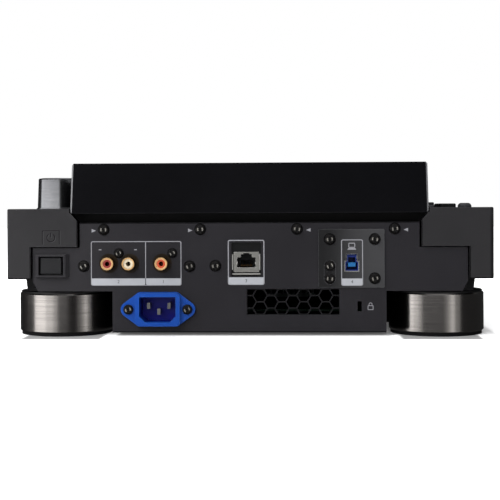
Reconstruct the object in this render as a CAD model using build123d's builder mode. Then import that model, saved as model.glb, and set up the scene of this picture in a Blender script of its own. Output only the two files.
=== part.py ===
from build123d import *
import os
from math import atan2, cos, radians, sin, sqrt, tan

# A tabletop media player for DJs: a moulded top case over a sheet-metal tray, on four
# turned feet, with a tilted display unit at the back, a jog wheel, keys, a tempo fader
# and a rear panel of sockets. Millimetres. +Z is up, the user sits at -Y, the rear panel
# faces +Y and +X is the user's right. The origin is under the middle of the footprint.

os.makedirs("parts", exist_ok=True)

MIN2 = (Align.MIN, Align.MIN)
ON_BASE = (Align.CENTER, Align.CENTER, Align.MIN)
UNDER = (Align.CENTER, Align.CENTER, Align.MAX)

# --- clearances -----------------------------------------------------------------------
seat_gap = 0.3          # between a piece that moves and what stops it
slide_gap = 0.4         # round a key or stem in its hole
fit_gap = 0.1           # round a fixed piece in its hole
running_fit = 0.05      # radial, shaft in bearing

# --- overall sizes --------------------------------------------------------------------
jog_radius = 103.0
side_column = 61.5      # jog wheel's edge to the side of the case
jog_front_margin = 43.5 # front of the case to the jog wheel's edge
jog_rear_margin = 14.5  # jog wheel's edge to the pads
pad_length = 13.0
pad_display_gap = 11.5
display_depth = 158.8
total_height = 118.0
deck_z = 87.0           # top of the flat deck
case_bottom_z = 39.0    # lower edge of the side walls
case_wall = 3.0
deck_thickness = 3.0
case_corner = 1.2
case_edge = 1.0

jack_reach = 8.0        # phono barrels past the rear panel
shoulder_step = 2.3     # rear faces of the case stand proud of the panel
case_width = 2 * (jog_radius + side_column)
case_depth = jog_front_margin + 2 * jog_radius + jog_rear_margin + pad_length + pad_display_gap + display_depth
total_depth = case_depth + jack_reach - shoulder_step
front_y = -total_depth / 2
jack_tip_y = total_depth / 2
panel_y = jack_tip_y - jack_reach
rear_y = panel_y + shoulder_step
case_mid_y = (rear_y + front_y) / 2
deck_under_z = deck_z - deck_thickness
inner_half_width = case_width / 2 - case_wall

# --- rear opening of the case and rear panel ------------------------------------------
panel_thickness = 2.0
panel_top_z = 77.3
panel_step_z = 60.3     # the panel widens below this height
panel_wing_z = 30.8     # underside of the wings
panel_bottom_z = 2.7
panel_top_half = case_width / 2 - 49.4
panel_wing_half = case_width / 2 - 17.1
foot_radius = 32.8
foot_inset = 34.8       # middle of a foot to the side of the case
foot_belly_gap = 4.1    # a foot to the rear panel
foot_x = case_width / 2 - foot_inset
panel_belly_half = foot_x - foot_radius - foot_belly_gap
wing_chamfer_x = 3.6
wing_chamfer_z = 6.7
panel_gap = 1.3         # shadow gap at the sides of the panel
step_gap = 0.8
shoulder_cut_z = 78.2   # the shoulder's inner corner is cut back above this
shoulder_cut_x = 4.6
panel_back_y = panel_y - panel_thickness
recess_depth = 10.8     # of the dark step under the display unit
recess_y = rear_y - recess_depth
recess_wall = 3.0
recess_wall_z = 73.0

# --- display unit ---------------------------------------------------------------------
display_half = case_width / 2 - 43.1
display_base_z = 83.8
display_front_y = rear_y - display_depth
display_lip_z = 88.6    # height of the screen's front edge
display_lean = 12.0     # degrees, rear face
display_top_land = 4.2
display_wall = 2.5
display_web = 24.0      # solid behind the screen's front edge
display_edge = 1.2
pocket_gap = 0.5        # round the display unit in the case
pocket_floor = 2.5
glass_frame = 5.4       # of the display unit either side of the glass
glass_width = 2 * (display_half - glass_frame)
glass_length = 136.0
glass_thickness = 2.0
glass_corner = 3.0
display_rear_y = rear_y - seat_gap
display_top_y = display_rear_y - (total_height - display_base_z) * tan(radians(display_lean))
screen_top_y = display_top_y - display_top_land
screen_rise = total_height - display_lip_z
screen_run = screen_top_y - display_front_y
screen_tilt = atan2(screen_rise, screen_run)
screen_mid_y = (screen_top_y + display_front_y) / 2
screen_mid_z = (total_height + display_lip_z) / 2
screen_plane = Plane(
    origin=(0, screen_mid_y, screen_mid_z),
    x_dir=(1, 0, 0),
    z_dir=(0, -sin(screen_tilt), cos(screen_tilt)),
)

# --- lower tray -----------------------------------------------------------------------
tray_wall = 2.0
tray_half = case_width / 2 - 11.5
tray_taper = 1.6        # the wings' sides lean in below
tray_wing_z = 31.0      # underside over the feet
tray_top_z = 43.0       # lip that the case's bosses stand on
tray_front_inset = 12.5
tray_front_y = front_y + tray_front_inset
belly_front_inset = 20.0
belly_front_y = front_y + belly_front_inset
belly_wide_half = case_width / 2 - 17.5
belly_foot_gap = 5.0    # between a foot and the wide part of the belly
tray_lip_half = inner_half_width - seat_gap
panel_strip = 4.6       # of tray behind the edge of each wing of the rear panel

# --- feet -----------------------------------------------------------------------------
foot_rear_y = rear_y - foot_radius
foot_front_inset = 42.5
foot_front_y = front_y + foot_front_inset
foot_pad_radius = 31.6
foot_pad_height = 2.2
foot_top_z = 28.8
foot_sleeve_wall = 3.0
foot_sleeve_chamfer = 0.8
foot_lip_inset = 1.0    # lip of the core on the sleeve's top
foot_lip_height = 1.2
foot_dish_rim = 5.5
foot_dish_depth = 4.5
foot_neck_radius = 19.0
foot_places = [(sx * foot_x, y) for sx in (-1, 1) for y in (foot_rear_y, foot_front_y)]

# --- jog wheel ------------------------------------------------------------------------
jog_y = front_y + jog_front_margin + jog_radius
jog_underside_z = 88.4
jog_web = 2.6
jog_rim_inner = jog_radius - 15.0
jog_hub_lip = 10.0      # of the hub under the rim
jog_rim_top_z = 97.0
jog_platter_inner = 43.3
jog_platter_top_z = 98.6
jog_display_radius = 42.8
jog_display_z = 94.0
jog_display_top_z = 98.2
jog_post_radius = 8.0
jog_hub_radius = 14.0
jog_base_z = 66.0
jog_base_floor = 2.0
jog_base_inner = 58.0
jog_base_wall = 2.0
jog_base_flange = 12.0
jog_encoder_radius = 48.0
jog_encoder_wall = 1.6
jog_encoder_z = 76.0
jog_encoder_slots = 36
jog_well_radius = jog_radius + 2.0
jog_well_depth = 0.8
dimple_count = 36
dimple_radius = 8.5
dimple_reach = 6.2      # of a dimple's sphere past the rim
jog_axis = Axis((0, jog_y, 0), (0, 0, 1))
jog_section = Plane.XZ.offset(-jog_y)

# --- keys: name, x, y, width, length, corner radius (None is round), height over deck --
key_board_z = 78.0
key_board_thickness = 1.6
key_travel = 1.0
key_flange = 1.2        # overlap of the flange past the key
key_flange_thickness = 1.7
key_stem_radius = 2.0
key_edge = 0.7
pad_count = 8
pad_pitch = 27.5
pad_width = 24.0
pad_corner = 1.5
pad_rise = 1.6
pad_y = display_front_y - pad_display_gap - pad_length / 2
column_x = case_width / 2 - 28.5  # middle of the key columns either side of the jog wheel
transport_diameter = 36.0
transport_rise = 3.0
play_y = front_y + 34.5
cue_y = play_y + 46.0
pill_width = 16.0
pill_length = 8.0
pill_corner = 3.9
pill_rise = 1.8
pill_y = cue_y + 34.0
pill_pitch = 20.0
round_key = 17.0
round_key_rise = 1.8
round_key_pitch = 22.0
loop_y = pad_y - 24.0
sync_y = jog_y + 52.0
stop_key_x = -(case_width / 2 - 11.7)
stop_key_y = rear_y - 50.8
stop_key_diameter = 9.8
stop_key_rise = 3.0
stop_key_edge = 2.6     # it is domed
keys = [
    (f"hot_cue_{k + 1}", (k - (pad_count - 1) / 2) * pad_pitch, pad_y,
     pad_width, pad_length, pad_corner, pad_rise)
    for k in range(pad_count)
]
keys += [
    ("cue_button", -column_x, cue_y, transport_diameter, None, None, transport_rise),
    ("play_button", -column_x, play_y, transport_diameter, None, None, transport_rise),
    ("track_back_button", -column_x - pill_pitch / 2, pill_y,
     pill_width, pill_length, pill_corner, pill_rise),
    ("track_forward_button", -column_x + pill_pitch / 2, pill_y,
     pill_width, pill_length, pill_corner, pill_rise),
    ("loop_in_button", -column_x - round_key_pitch / 2, loop_y,
     round_key, None, None, round_key_rise),
    ("loop_out_button", -column_x + round_key_pitch / 2, loop_y,
     round_key, None, None, round_key_rise),
    ("sync_button", column_x - round_key_pitch / 2, sync_y,
     round_key, None, None, round_key_rise),
    ("master_button", column_x + round_key_pitch / 2, sync_y,
     round_key, None, None, round_key_rise),
    ("stop_button", stop_key_x, stop_key_y, stop_key_diameter, None, None, stop_key_rise),
]

# Key boards under the deck: x, y, width, length, and the posts that they hang from.
board_post_radius = 2.5
post_margin = 3.0
pad_board_length = 27.0
pad_board_width = pad_pitch * pad_count + 8.0
post_y = pad_board_length / 2 - post_margin
round_board_length = 25.0
round_board_width = round_key_pitch + 18.0
round_post = round_board_length / 2 - post_margin
transport_pitch = cue_y - play_y
transport_board_y = (play_y + pill_y) / 2 - 7.0
transport_board_length = pill_y - play_y + 34.0
transport_board_width = pill_pitch + 2 * key_stem_radius + 3.0
stop_board_length = 24.0
stop_board_width = 12.0
stop_post = stop_board_length / 2 - 2.5
boards = [
    (0, pad_y, pad_board_width, pad_board_length,
     [(x, pad_y + y) for x in (-3.5 * pad_pitch, 0, 3.5 * pad_pitch) for y in (-post_y, post_y)]),
    (-column_x, transport_board_y, transport_board_width, transport_board_length,
     [(-column_x, play_y - transport_pitch / 2), (-column_x, play_y + transport_pitch / 2),
      (-column_x, cue_y + transport_pitch / 2)]),
    (-column_x, loop_y, round_board_width, round_board_length,
     [(-column_x, loop_y - round_post), (-column_x, loop_y + round_post)]),
    (column_x, sync_y, round_board_width, round_board_length,
     [(column_x, sync_y - round_post), (column_x, sync_y + round_post)]),
    (stop_key_x, stop_key_y, stop_board_width, stop_board_length,
     [(stop_key_x, stop_key_y - stop_post), (stop_key_x, stop_key_y + stop_post)]),
]

# --- bosses and screws between case and tray --------------------------------------------
boss_radius = 5.0
boss_inset = 5.0
boss_x = inner_half_width - boss_inset
boss_places = [(sx * boss_x, y) for sx in (-1, 1) for y in (front_y + 14.0, 0.0, rear_y - 20.8)]
base_screw_radius = 1.5
base_screw_head = 3.0
base_screw_head_height = 1.8
base_screw_length = 10.0

# --- selector, adjusting knobs ------------------------------------------------------------
selector_x = case_width / 2 - 21.0
selector_from_rear = 72.0
selector_y = rear_y - selector_from_rear
selector_radius = 16.0
selector_top_radius = 15.2
selector_travel = 0.5
selector_rest_gap = 0.15 # left under the knob when it is pressed
selector_z = deck_z + selector_travel + selector_rest_gap
selector_top_z = 109.5
shaft_cover = 6.0       # of a knob over its shaft's end
shaft_gap_below = 1.5
shaft_radius = 3.0
encoder_size = 14.0
encoder_height = 8.0
bush_radius = 4.5
adjust_y = pad_y - 20.0
adjust_pitch = 22.0
adjust_radius = 7.5
adjust_top_radius = 6.6
adjust_z = deck_z + slide_gap
adjust_top_z = 98.0
adjust_size = 11.0
adjust_places = [(column_x - adjust_pitch / 2, adjust_y), (column_x + adjust_pitch / 2, adjust_y)]

# --- tempo fader ---------------------------------------------------------------------------
fader_y = front_y + 86.5
fader_travel = 50.0     # each way
fader_frame_width = 16.0
fader_frame_depth = 16.0
fader_frame_wall = 1.5
fader_stem_width = 3.2
fader_stem_length = 8.0
fader_cap_width = 24.0
fader_cap_length = 14.0
fader_cap_z = 88.3
fader_cap_height = 11.0
fader_cap_slope = 2.2
carriage_length = 12.0
carriage_height = 8.0
fader_slot_width = fader_stem_width + 2 * slide_gap
fader_slot_length = 2 * fader_travel + fader_stem_length + 3.0
fader_frame_length = 2 * fader_travel + carriage_length + 14.0

# --- direction lever -------------------------------------------------------------------------
lever_x = -(case_width / 2 - 9.7)
lever_y = jog_y + 20.0
lever_swing = 12.0
lever_pivot_z = 78.0
lever_axle_radius = 1.5
lever_stem_width = 4.4
lever_stem_length = 4.0
lever_paddle_width = 10.0
lever_paddle_length = 10.0
lever_paddle_z = 88.8
lever_top_z = 91.6
lever_below = 3.0       # of the stem under the axle
lever_slot_width = lever_stem_width + 2 * slide_gap
lever_slot_length = lever_stem_length + 2 * (deck_z - lever_pivot_z) * tan(radians(lever_swing)) + 2.0
ear_thickness = 1.5
ear_length = 10.0
bracket_floor_z = 71.0

# --- media port on the deck -------------------------------------------------------------------
port_x = -(case_width / 2 - 26.4)
port_y = stop_key_y + 5.0
port_width = 11.6
port_length = 30.0
port_rise = 2.6
port_mouth_width = 5.2
port_mouth_length = 12.8
port_wall = 1.4
port_depth = 13.0
port_tongue = 2.0

# --- rear sockets ---------------------------------------------------------------------------
jack_first_x = panel_belly_half + 2.5
jack_xs = (jack_first_x, jack_first_x - 14.3, jack_first_x - 36.5)
jack_z = 49.7
jack_recess = 0.8       # of the insulators in the barrels
jack_bore_floor = 2.0
jack_collar = 6.35
jack_collar_recess = 0.8
jack_block_width = 12.6
jack_block_top = 5.0
jack_block_bottom = 7.5
jack_block_depth = 16.5
jack_barrel_radius = 4.2
jack_barrel_wall = 0.8
jack_bore = 1.6
jack_root = 8.0         # barrel behind the panel's face

inlet_x = panel_belly_half - 31.2
inlet_z = 18.6
inlet_flange_width = 50.5
inlet_flange_height = 23.3
inlet_flange = 2.5
inlet_tip_radius = 5.2
inlet_frame_width = 30.2
inlet_frame_height = 22.1
inlet_frame = 3.4
inlet_corner = 3.0
inlet_mouth_width = 24.8
inlet_mouth_height = 17.2
inlet_mouth_chamfer = 4.2
inlet_body_width = 28.4
inlet_body_height = 20.4
inlet_body_depth = 16.0
inlet_floor = 2.5
inlet_pin_width = 2.0
inlet_pin_height = 4.0
inlet_pin_pitch = 14.0
inlet_pin_drop = 4.0
inlet_pin_recess = 8.6
inlet_screw_pitch = 40.0
inlet_front_y = panel_y + inlet_flange + inlet_frame

lan_x = 1.6
lan_z = 50.45
lan_width = 16.9
lan_height = 13.5
lan_depth = 18.0
lan_wall = 0.8
lan_port_width = 12.6
lan_port_height = 6.9
lan_port_z = -0.3
lan_latch_width = 7.6
lan_latch_height = 2.2
lan_port_depth = 13.0
lan_window_width = 20.4
lan_window_z = (40.5, 63.8)
lan_face_recess = 0.5

plate_x = (-panel_belly_half + 1.3, -panel_belly_half + 45.6)
plate_z = (33.1, 72.5)
plate_thickness = 1.0
plate_corner = 0.8
slot_recess_x = plate_x[1] - 7.6
slot_recess_z = 43.45
slot_recess_width = 7.6
slot_recess_length = 16.4
slot_recess_depth = 0.6
usb_x = plate_x[0] + 21.9
usb_bottom_z = 43.8
usb_step_z = 51.2
usb_top_z = 55.9
usb_lower_width = 9.8
usb_upper_width = 7.4
usb_shield = 0.5
usb_liner = 0.6         # blue moulding inside the shield
usb_liner_recess = 0.5
usb_depth = 14.0
usb_core_depth = 3.0
usb_tongue_width = 5.1
usb_tongue_height = 2.7
usb_tongue_z = 48.5
usb_tongue_recess = 1.0
usb_upper_tongue_height = 0.8
usb_upper_tongue_z = 53.9
usb_face_recess = 0.6
usb_hole_margin = 1.0   # of the rear panel round the socket

vent_x = (-panel_belly_half + 31.3, 1.6)
vent_z = (14.4, 32.4)
vent_pitch = 7.4        # between columns of cells
vent_web = 0.8
vent_rim = 0.5
vent_thickness = 1.5
vent_border = 2.5
vent_recess = 0.5
vent_first_x = -7.6     # a column with two whole cells
vent_mid_z = (vent_z[0] + vent_z[1]) / 2
vent_cell = vent_pitch / 1.5
vent_row_pitch = sqrt(3) * vent_cell
vent_hole = vent_cell - vent_web / sqrt(3)

lock_x = -(panel_belly_half - 18.0)
lock_z = 20.3
lock_width = 3.0
lock_height = 7.0

power_x = panel_wing_half - 13.0
power_z = 48.2
power_width = 14.2
power_height = 10.8
power_rise = 2.6
power_travel = 1.8
power_edge = 0.8
guard_outer_x = panel_wing_half - 2.5
guard_inner_x = panel_wing_half - 25.3
guard_height = 15.6
guard_rise = 3.4
guard_slope = 2.4       # its side towards the sockets is a ramp
guard_edge = 0.4
guard_side_gap = 1.4    # between the button and the guard
guard_end_gap = 1.1
switch_width = 20.0
switch_height = 15.0
switch_depth = 19.0
power_depth = 7.0       # of the button behind the panel's face

screw_head = 3.4
screw_head_height = 2.1
screw_head_edge = 1.3
screw_shank = 1.5
screw_length = 5.0
screw_hole = screw_shank + fit_gap
small_screw_scale = 0.85
recess_arm = 3.4
recess_slot = 0.8
recess_deep = 1.1
top_row_z = 72.7
jack_screw_out = 17.1   # panel screws either side of the jacks
jack_screw_in = 55.2
lan_screw_out = 21.0
top_row_outer = panel_top_half - 16.5
top_row_inner = 0.285 * panel_top_half
panel_screws_at = [(-top_row_outer, top_row_z), (top_row_outer, top_row_z),
                   (-top_row_inner, top_row_z), (top_row_inner, top_row_z),
                   (jack_first_x + jack_screw_out, 47.8), (jack_first_x - jack_screw_in, 47.6),
                   (lan_x + lan_screw_out, 47.9)]
plate_left_x = plate_x[0] + 6.5
plate_screws_at = [(slot_recess_x, 65.7), (plate_left_x, 65.7), (plate_left_x, 39.3)]
recessed_screws_at = [(slot_recess_x, 47.8), (slot_recess_x, 39.1)]
inlet_screws_at = [(inlet_x - inlet_screw_pitch / 2, inlet_z), (inlet_x + inlet_screw_pitch / 2, inlet_z)]
flange_screw_near = 6.9
flange_screw_far = 43.5
jack_screws_at = [(jack_first_x - flange_screw_near, 56.6), (jack_first_x - flange_screw_far, 56.6)]

# --- boards inside ------------------------------------------------------------------------------
board_thickness = 1.6
board_standoff = 6.0
standoff_radius = 3.5
board_side_margin = 6.8
main_board_front = 106.5
main_board_rear = 70.8
supply_rear = 30.8
supply_length = 130.0
main_board_x = (-panel_belly_half + board_side_margin, 28.0)
main_board_y = (front_y + main_board_front, rear_y - main_board_rear)
supply_x = (36.0, panel_belly_half - board_side_margin)
supply_y = (rear_y - supply_rear - supply_length, rear_y - supply_rear)
heatsink_size = 40.0
heatsink_base = 3.0
heatsink_height = 14.0
fin_count = 8
fin_thickness = 1.6
transformer_width = 32.0
transformer_length = 28.0
transformer_height = 22.0
transformer_y = 40.0    # from the front of the supply
capacitor_radius = 9.0
capacitor_height = 25.0
capacitor_pitch = 20.0
capacitor_y = 85.0
board_inset = 6.0
tray_floor_z = panel_bottom_z + tray_wall
board_z = tray_floor_z + board_standoff


def at_y(y):
    """Upright plane at depth y: local x is +X, local y is +Z, and it extrudes towards -Y."""
    return Plane.XZ.offset(-y)


def write(piece, name):
    """Label a finished piece and write it to its own file."""
    piece.part.label = name
    export_step(piece.part, f"parts/{name}.step")


def key_outline(width, length, corner, grow=0.0):
    """Outline of a key, or of the hole round it when it grows: round, or a rounded rectangle."""
    if length is None:
        Circle(width / 2 + grow)
    else:
        RectangleRounded(width + 2 * grow, length + 2 * grow, corner + grow)


def corners(x_range, y_range, inset):
    """The four points inset from the corners of a rectangle."""
    return [(x, y) for x in (x_range[0] + inset, x_range[1] - inset)
            for y in (y_range[0] + inset, y_range[1] - inset)]


def rear_planes(points, y):
    """A plane facing +Y at depth y for each point (x, z) of the rear panel."""
    return [Plane(origin=(x, y, z), x_dir=(-1, 0, 0), z_dir=(0, 1, 0)) for x, z in points]


# ======================================== top case ==============================================
opening_half = panel_top_half + panel_gap
leg_half = panel_wing_half + step_gap
step_z = panel_step_z + step_gap
pocket_half = display_half + pocket_gap
pocket_front_y = display_front_y - pocket_gap
shoulder_half = opening_half + shoulder_cut_x
above_deck = deck_z + 10.0

with BuildPart() as top_case:
    with BuildSketch(Plane.XY.offset(case_bottom_z)):
        with Locations((0, case_mid_y)):
            RectangleRounded(case_width, case_depth, case_corner)
    extrude(amount=deck_z - case_bottom_z)
    fillet(top_case.faces().sort_by(Axis.Z)[-1].edges(), radius=case_edge)
    fillet(top_case.faces().sort_by(Axis.Z)[0].edges(), radius=case_edge)
    with BuildSketch(Plane.XY.offset(case_bottom_z)):
        with Locations((0, case_mid_y)):
            Rectangle(2 * inner_half_width, case_depth - 2 * case_wall)
    extrude(amount=deck_under_z - case_bottom_z, mode=Mode.SUBTRACT)
    # The pan under the display unit, with a wall that closes the step behind it.
    with BuildSketch(Plane.XY.offset(display_base_z - pocket_floor)):
        with Locations((0, (pocket_front_y - case_wall + recess_y) / 2)):
            Rectangle(2 * (pocket_half + case_wall), recess_y - pocket_front_y + case_wall)
    extrude(amount=deck_under_z - display_base_z + pocket_floor)
    with BuildSketch(Plane.XY.offset(recess_wall_z)):
        with Locations((0, recess_y - recess_wall)):
            Rectangle(2 * pocket_half, recess_wall, align=(Align.CENTER, Align.MIN))
        for side in (-1, 1):
            with Locations((side * (opening_half + pocket_half + case_wall) / 2, recess_y - recess_wall)):
                Rectangle(pocket_half + case_wall - opening_half, rear_y - case_wall - recess_y + recess_wall,
                          align=(Align.CENTER, Align.MIN))
    extrude(amount=deck_under_z - recess_wall_z)
    with BuildSketch(Plane.XY.offset(display_base_z)):
        with Locations((0, pocket_front_y)):
            Rectangle(2 * pocket_half, case_depth, align=(Align.CENTER, Align.MIN))
    extrude(amount=above_deck - display_base_z, mode=Mode.SUBTRACT)
    # The rear opening: narrow between the shoulders, wide between the legs.
    with BuildSketch(at_y(rear_y)):
        Polygon(
            (-leg_half, case_bottom_z - 1), (leg_half, case_bottom_z - 1), (leg_half, step_z),
            (opening_half, step_z), (opening_half, shoulder_cut_z), (shoulder_half, display_base_z),
            (-shoulder_half, display_base_z), (-opening_half, shoulder_cut_z),
            (-opening_half, step_z), (-leg_half, step_z), align=None)
    extrude(amount=recess_depth, mode=Mode.SUBTRACT)
    # Bosses down to the tray's lip, and the posts that the key boards hang from.
    with BuildSketch(Plane.XY.offset(tray_top_z)):
        with Locations(*boss_places):
            Circle(boss_radius)
    extrude(amount=deck_under_z - tray_top_z)
    with BuildSketch(Plane.XY.offset(key_board_z)):
        for board in boards:
            with Locations(*board[4]):
                Circle(board_post_radius)
    extrude(amount=deck_under_z - key_board_z)
    with BuildSketch(Plane.XY.offset(tray_top_z)):
        with Locations(*boss_places):
            Circle(base_screw_radius + fit_gap)
    extrude(amount=base_screw_length, mode=Mode.SUBTRACT)
    # Deck openings.
    with BuildSketch(Plane.XY.offset(deck_z)):
        with Locations((0, jog_y)):
            Circle(jog_well_radius)
    extrude(amount=-jog_well_depth, mode=Mode.SUBTRACT)
    with BuildSketch(Plane.XY.offset(deck_z)):
        with Locations((0, jog_y)):
            Circle(jog_base_inner)
        for name, x, y, width, length, corner, rise in keys:
            with Locations((x, y)):
                key_outline(width, length, corner, slide_gap)
        with Locations((selector_x, selector_y), *adjust_places):
            Circle(bush_radius + fit_gap)
        with Locations((column_x, fader_y)):
            Rectangle(fader_slot_width, fader_slot_length)
        with Locations((lever_x, lever_y)):
            Rectangle(lever_slot_width, lever_slot_length)
        with Locations((port_x, port_y)):
            Rectangle(port_mouth_width + 2 * (port_wall + fit_gap), port_mouth_length + 2 * (port_wall + fit_gap))
    extrude(amount=-deck_thickness, mode=Mode.SUBTRACT)
write(top_case, "top_case")

# ======================================== display unit ==========================================
with BuildPart() as display_housing:
    with BuildSketch(Plane.YZ):
        Polygon(
            (display_rear_y, display_base_z), (display_top_y, total_height), (screen_top_y, total_height),
            (display_front_y, display_lip_z), (display_front_y, display_base_z), align=None)
    extrude(amount=display_half, both=True)
    fillet(display_housing.edges().filter_by(Axis.X).group_by(Axis.Z)[-1], radius=display_edge)
    chamfer(display_housing.edges().filter_by(Axis.X, reverse=True).group_by(Axis.X)[0]
            + display_housing.edges().filter_by(Axis.X, reverse=True).group_by(Axis.X)[-1],
            length=display_edge)
    # Hollow from below, under a thicker screen frame.
    with BuildSketch(Plane.YZ):
        Polygon(
            (display_rear_y - display_wall, display_base_z),
            (display_top_y - display_wall, total_height - 2 * display_wall),
            (screen_top_y, total_height - 2 * display_wall - glass_thickness),
            (display_front_y + display_web, display_base_z), align=None)
    extrude(amount=display_half - display_wall, both=True, mode=Mode.SUBTRACT)
    with BuildSketch(screen_plane):
        RectangleRounded(glass_width + 2 * fit_gap, glass_length + 2 * fit_gap, glass_corner)
    extrude(amount=-glass_thickness, mode=Mode.SUBTRACT)
write(display_housing, "display_housing")

with BuildPart() as display_glass:
    with BuildSketch(screen_plane):
        RectangleRounded(glass_width, glass_length, glass_corner - fit_gap)
    extrude(amount=-glass_thickness)
write(display_glass, "display_glass")

# ======================================== rear panel ============================================
screw_holes_at = panel_screws_at + plate_screws_at + recessed_screws_at + inlet_screws_at

with BuildPart() as rear_panel:
    with BuildSketch(at_y(panel_y)):
        Polygon(
            (-panel_top_half, panel_top_z), (-panel_top_half, panel_step_z),
            (-panel_wing_half, panel_step_z), (-panel_wing_half, panel_wing_z + wing_chamfer_z),
            (-panel_wing_half + wing_chamfer_x, panel_wing_z), (-panel_belly_half, panel_wing_z),
            (-panel_belly_half, panel_bottom_z), (panel_belly_half, panel_bottom_z),
            (panel_belly_half, panel_wing_z), (panel_wing_half - wing_chamfer_x, panel_wing_z),
            (panel_wing_half, panel_wing_z + wing_chamfer_z), (panel_wing_half, panel_step_z),
            (panel_top_half, panel_step_z), (panel_top_half, panel_top_z), align=None)
    extrude(amount=panel_thickness)
    # The folded top edge that meets the wall of the step.
    with BuildSketch(Plane.XY.offset(panel_top_z)):
        with Locations((0, recess_y + seat_gap)):
            Rectangle(2 * panel_top_half, panel_back_y - recess_y - seat_gap, align=(Align.CENTER, Align.MIN))
    extrude(amount=-panel_thickness)
    with BuildSketch(at_y(panel_y)):
        with Locations(*screw_holes_at):
            Circle(screw_hole)
        with Locations(*jack_screws_at):
            Circle(screw_shank * small_screw_scale + fit_gap)
        with Locations(*[(x, jack_z) for x in jack_xs]):
            Circle(jack_collar + fit_gap)
        with Locations((inlet_x, inlet_z)):
            Rectangle(inlet_body_width + 2 * fit_gap, inlet_body_height + 2 * fit_gap)
        with Locations((lan_x, lan_window_z[0])):
            Rectangle(lan_window_width, lan_window_z[1] - lan_window_z[0], align=(Align.CENTER, Align.MIN))
        with Locations((usb_x, usb_bottom_z - usb_hole_margin)):
            Rectangle(usb_lower_width + 2 * usb_hole_margin, usb_top_z - usb_bottom_z + 2 * usb_hole_margin,
                      align=(Align.CENTER, Align.MIN))
        with Locations((vent_x[0], vent_z[0])):
            Rectangle(vent_x[1] - vent_x[0], vent_z[1] - vent_z[0], align=MIN2)
        with Locations((lock_x, lock_z)):
            Rectangle(lock_width, lock_height)
        with Locations((power_x, power_z)):
            Rectangle(power_width + 2 * guard_side_gap, power_height + 2 * guard_end_gap)
    extrude(amount=panel_thickness, mode=Mode.SUBTRACT)
write(rear_panel, "rear_panel")

# The vent: a honeycomb of flat-topped cells, cut off where they meet the window's edge.
cells = []
for column in range(-1, 8):
    x = vent_first_x - column * vent_pitch
    rows = (-0.5, 0.5) if column % 2 == 0 else (-1, 0, 1)
    cells += [(x, vent_mid_z + row * vent_row_pitch) for row in rows]

with BuildPart() as vent_grille:
    with BuildSketch(at_y(panel_back_y)):
        with Locations(((vent_x[0] + vent_x[1]) / 2, vent_mid_z)):
            Rectangle(vent_x[1] - vent_x[0] + 2 * vent_border, vent_z[1] - vent_z[0] + 2 * vent_border)
    extrude(amount=vent_thickness)
    with BuildSketch(at_y(panel_y - vent_recess)):
        with Locations(((vent_x[0] + vent_x[1]) / 2, vent_mid_z)):
            Rectangle(vent_x[1] - vent_x[0] - 2 * fit_gap, vent_z[1] - vent_z[0] - 2 * fit_gap)
    extrude(amount=panel_thickness - vent_recess)
    with BuildSketch(at_y(panel_y)):
        with Locations(*cells):
            RegularPolygon(vent_hole, 6)
        with Locations(((vent_x[0] + vent_x[1]) / 2, vent_mid_z)):
            Rectangle(vent_x[1] - vent_x[0] - 2 * vent_rim, vent_z[1] - vent_z[0] - 2 * vent_rim,
                      mode=Mode.INTERSECT)
    extrude(amount=panel_thickness + vent_thickness, mode=Mode.SUBTRACT)
write(vent_grille, "vent_grille")

with BuildPart() as connector_plate:
    with BuildSketch(at_y(panel_y + plate_thickness)):
        with Locations(((plate_x[0] + plate_x[1]) / 2, (plate_z[0] + plate_z[1]) / 2)):
            RectangleRounded(plate_x[1] - plate_x[0], plate_z[1] - plate_z[0], plate_corner)
    extrude(amount=plate_thickness)
    with BuildSketch(at_y(panel_y + plate_thickness)):
        with Locations(*plate_screws_at, *recessed_screws_at):
            Circle(screw_hole)
        with Locations((usb_x, usb_bottom_z)):
            Rectangle(usb_lower_width + 2 * fit_gap, usb_step_z - usb_bottom_z, align=(Align.CENTER, Align.MIN))
        with Locations((usb_x, usb_bottom_z - fit_gap)):
            Rectangle(usb_upper_width + 2 * fit_gap, usb_top_z - usb_bottom_z + 2 * fit_gap,
                      align=(Align.CENTER, Align.MIN))
    extrude(amount=plate_thickness, mode=Mode.SUBTRACT)
    with BuildSketch(at_y(panel_y + plate_thickness)):
        with Locations((slot_recess_x, slot_recess_z)):
            SlotOverall(slot_recess_length, slot_recess_width, rotation=90)
    extrude(amount=slot_recess_depth, mode=Mode.SUBTRACT)
write(connector_plate, "connector_plate")

# ======================================== screws ================================================
screw_sets = [
    (panel_screws_at, panel_y, 1.0), (plate_screws_at, panel_y + plate_thickness, 1.0),
    (recessed_screws_at, panel_y + plate_thickness - slot_recess_depth, 1.0),
    (inlet_screws_at, panel_y + inlet_flange, 1.0), (jack_screws_at, panel_y, small_screw_scale),
]

# Pan-head screws with a cross recess.
with BuildPart() as panel_screws:
    for points, seat_y, scale in screw_sets:
        with BuildSketch(Plane.XY):
            with BuildLine():
                Polyline((0, -screw_length * scale), (screw_shank * scale, -screw_length * scale),
                         (screw_shank * scale, 0), (screw_head * scale, 0),
                         (screw_head * scale, (screw_head_height - screw_head_edge) * scale))
                RadiusArc((screw_head * scale, (screw_head_height - screw_head_edge) * scale),
                          ((screw_head - screw_head_edge) * scale, screw_head_height * scale),
                          -screw_head_edge * scale)
                Polyline(((screw_head - screw_head_edge) * scale, screw_head_height * scale),
                         (0, screw_head_height * scale), (0, -screw_length * scale))
            make_face()
        screw = revolve(axis=Axis.Y, mode=Mode.PRIVATE)
        with Locations(*[(x, seat_y, z) for x, z in points]):
            add(screw)
        with Locations(*[plane.offset(screw_head_height * scale) for plane in rear_planes(points, seat_y)]):
            Box(recess_arm * scale, recess_slot * scale, recess_deep * scale, align=UNDER, mode=Mode.SUBTRACT)
            Box(recess_slot * scale, recess_arm * scale, recess_deep * scale, align=UNDER, mode=Mode.SUBTRACT)
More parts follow.
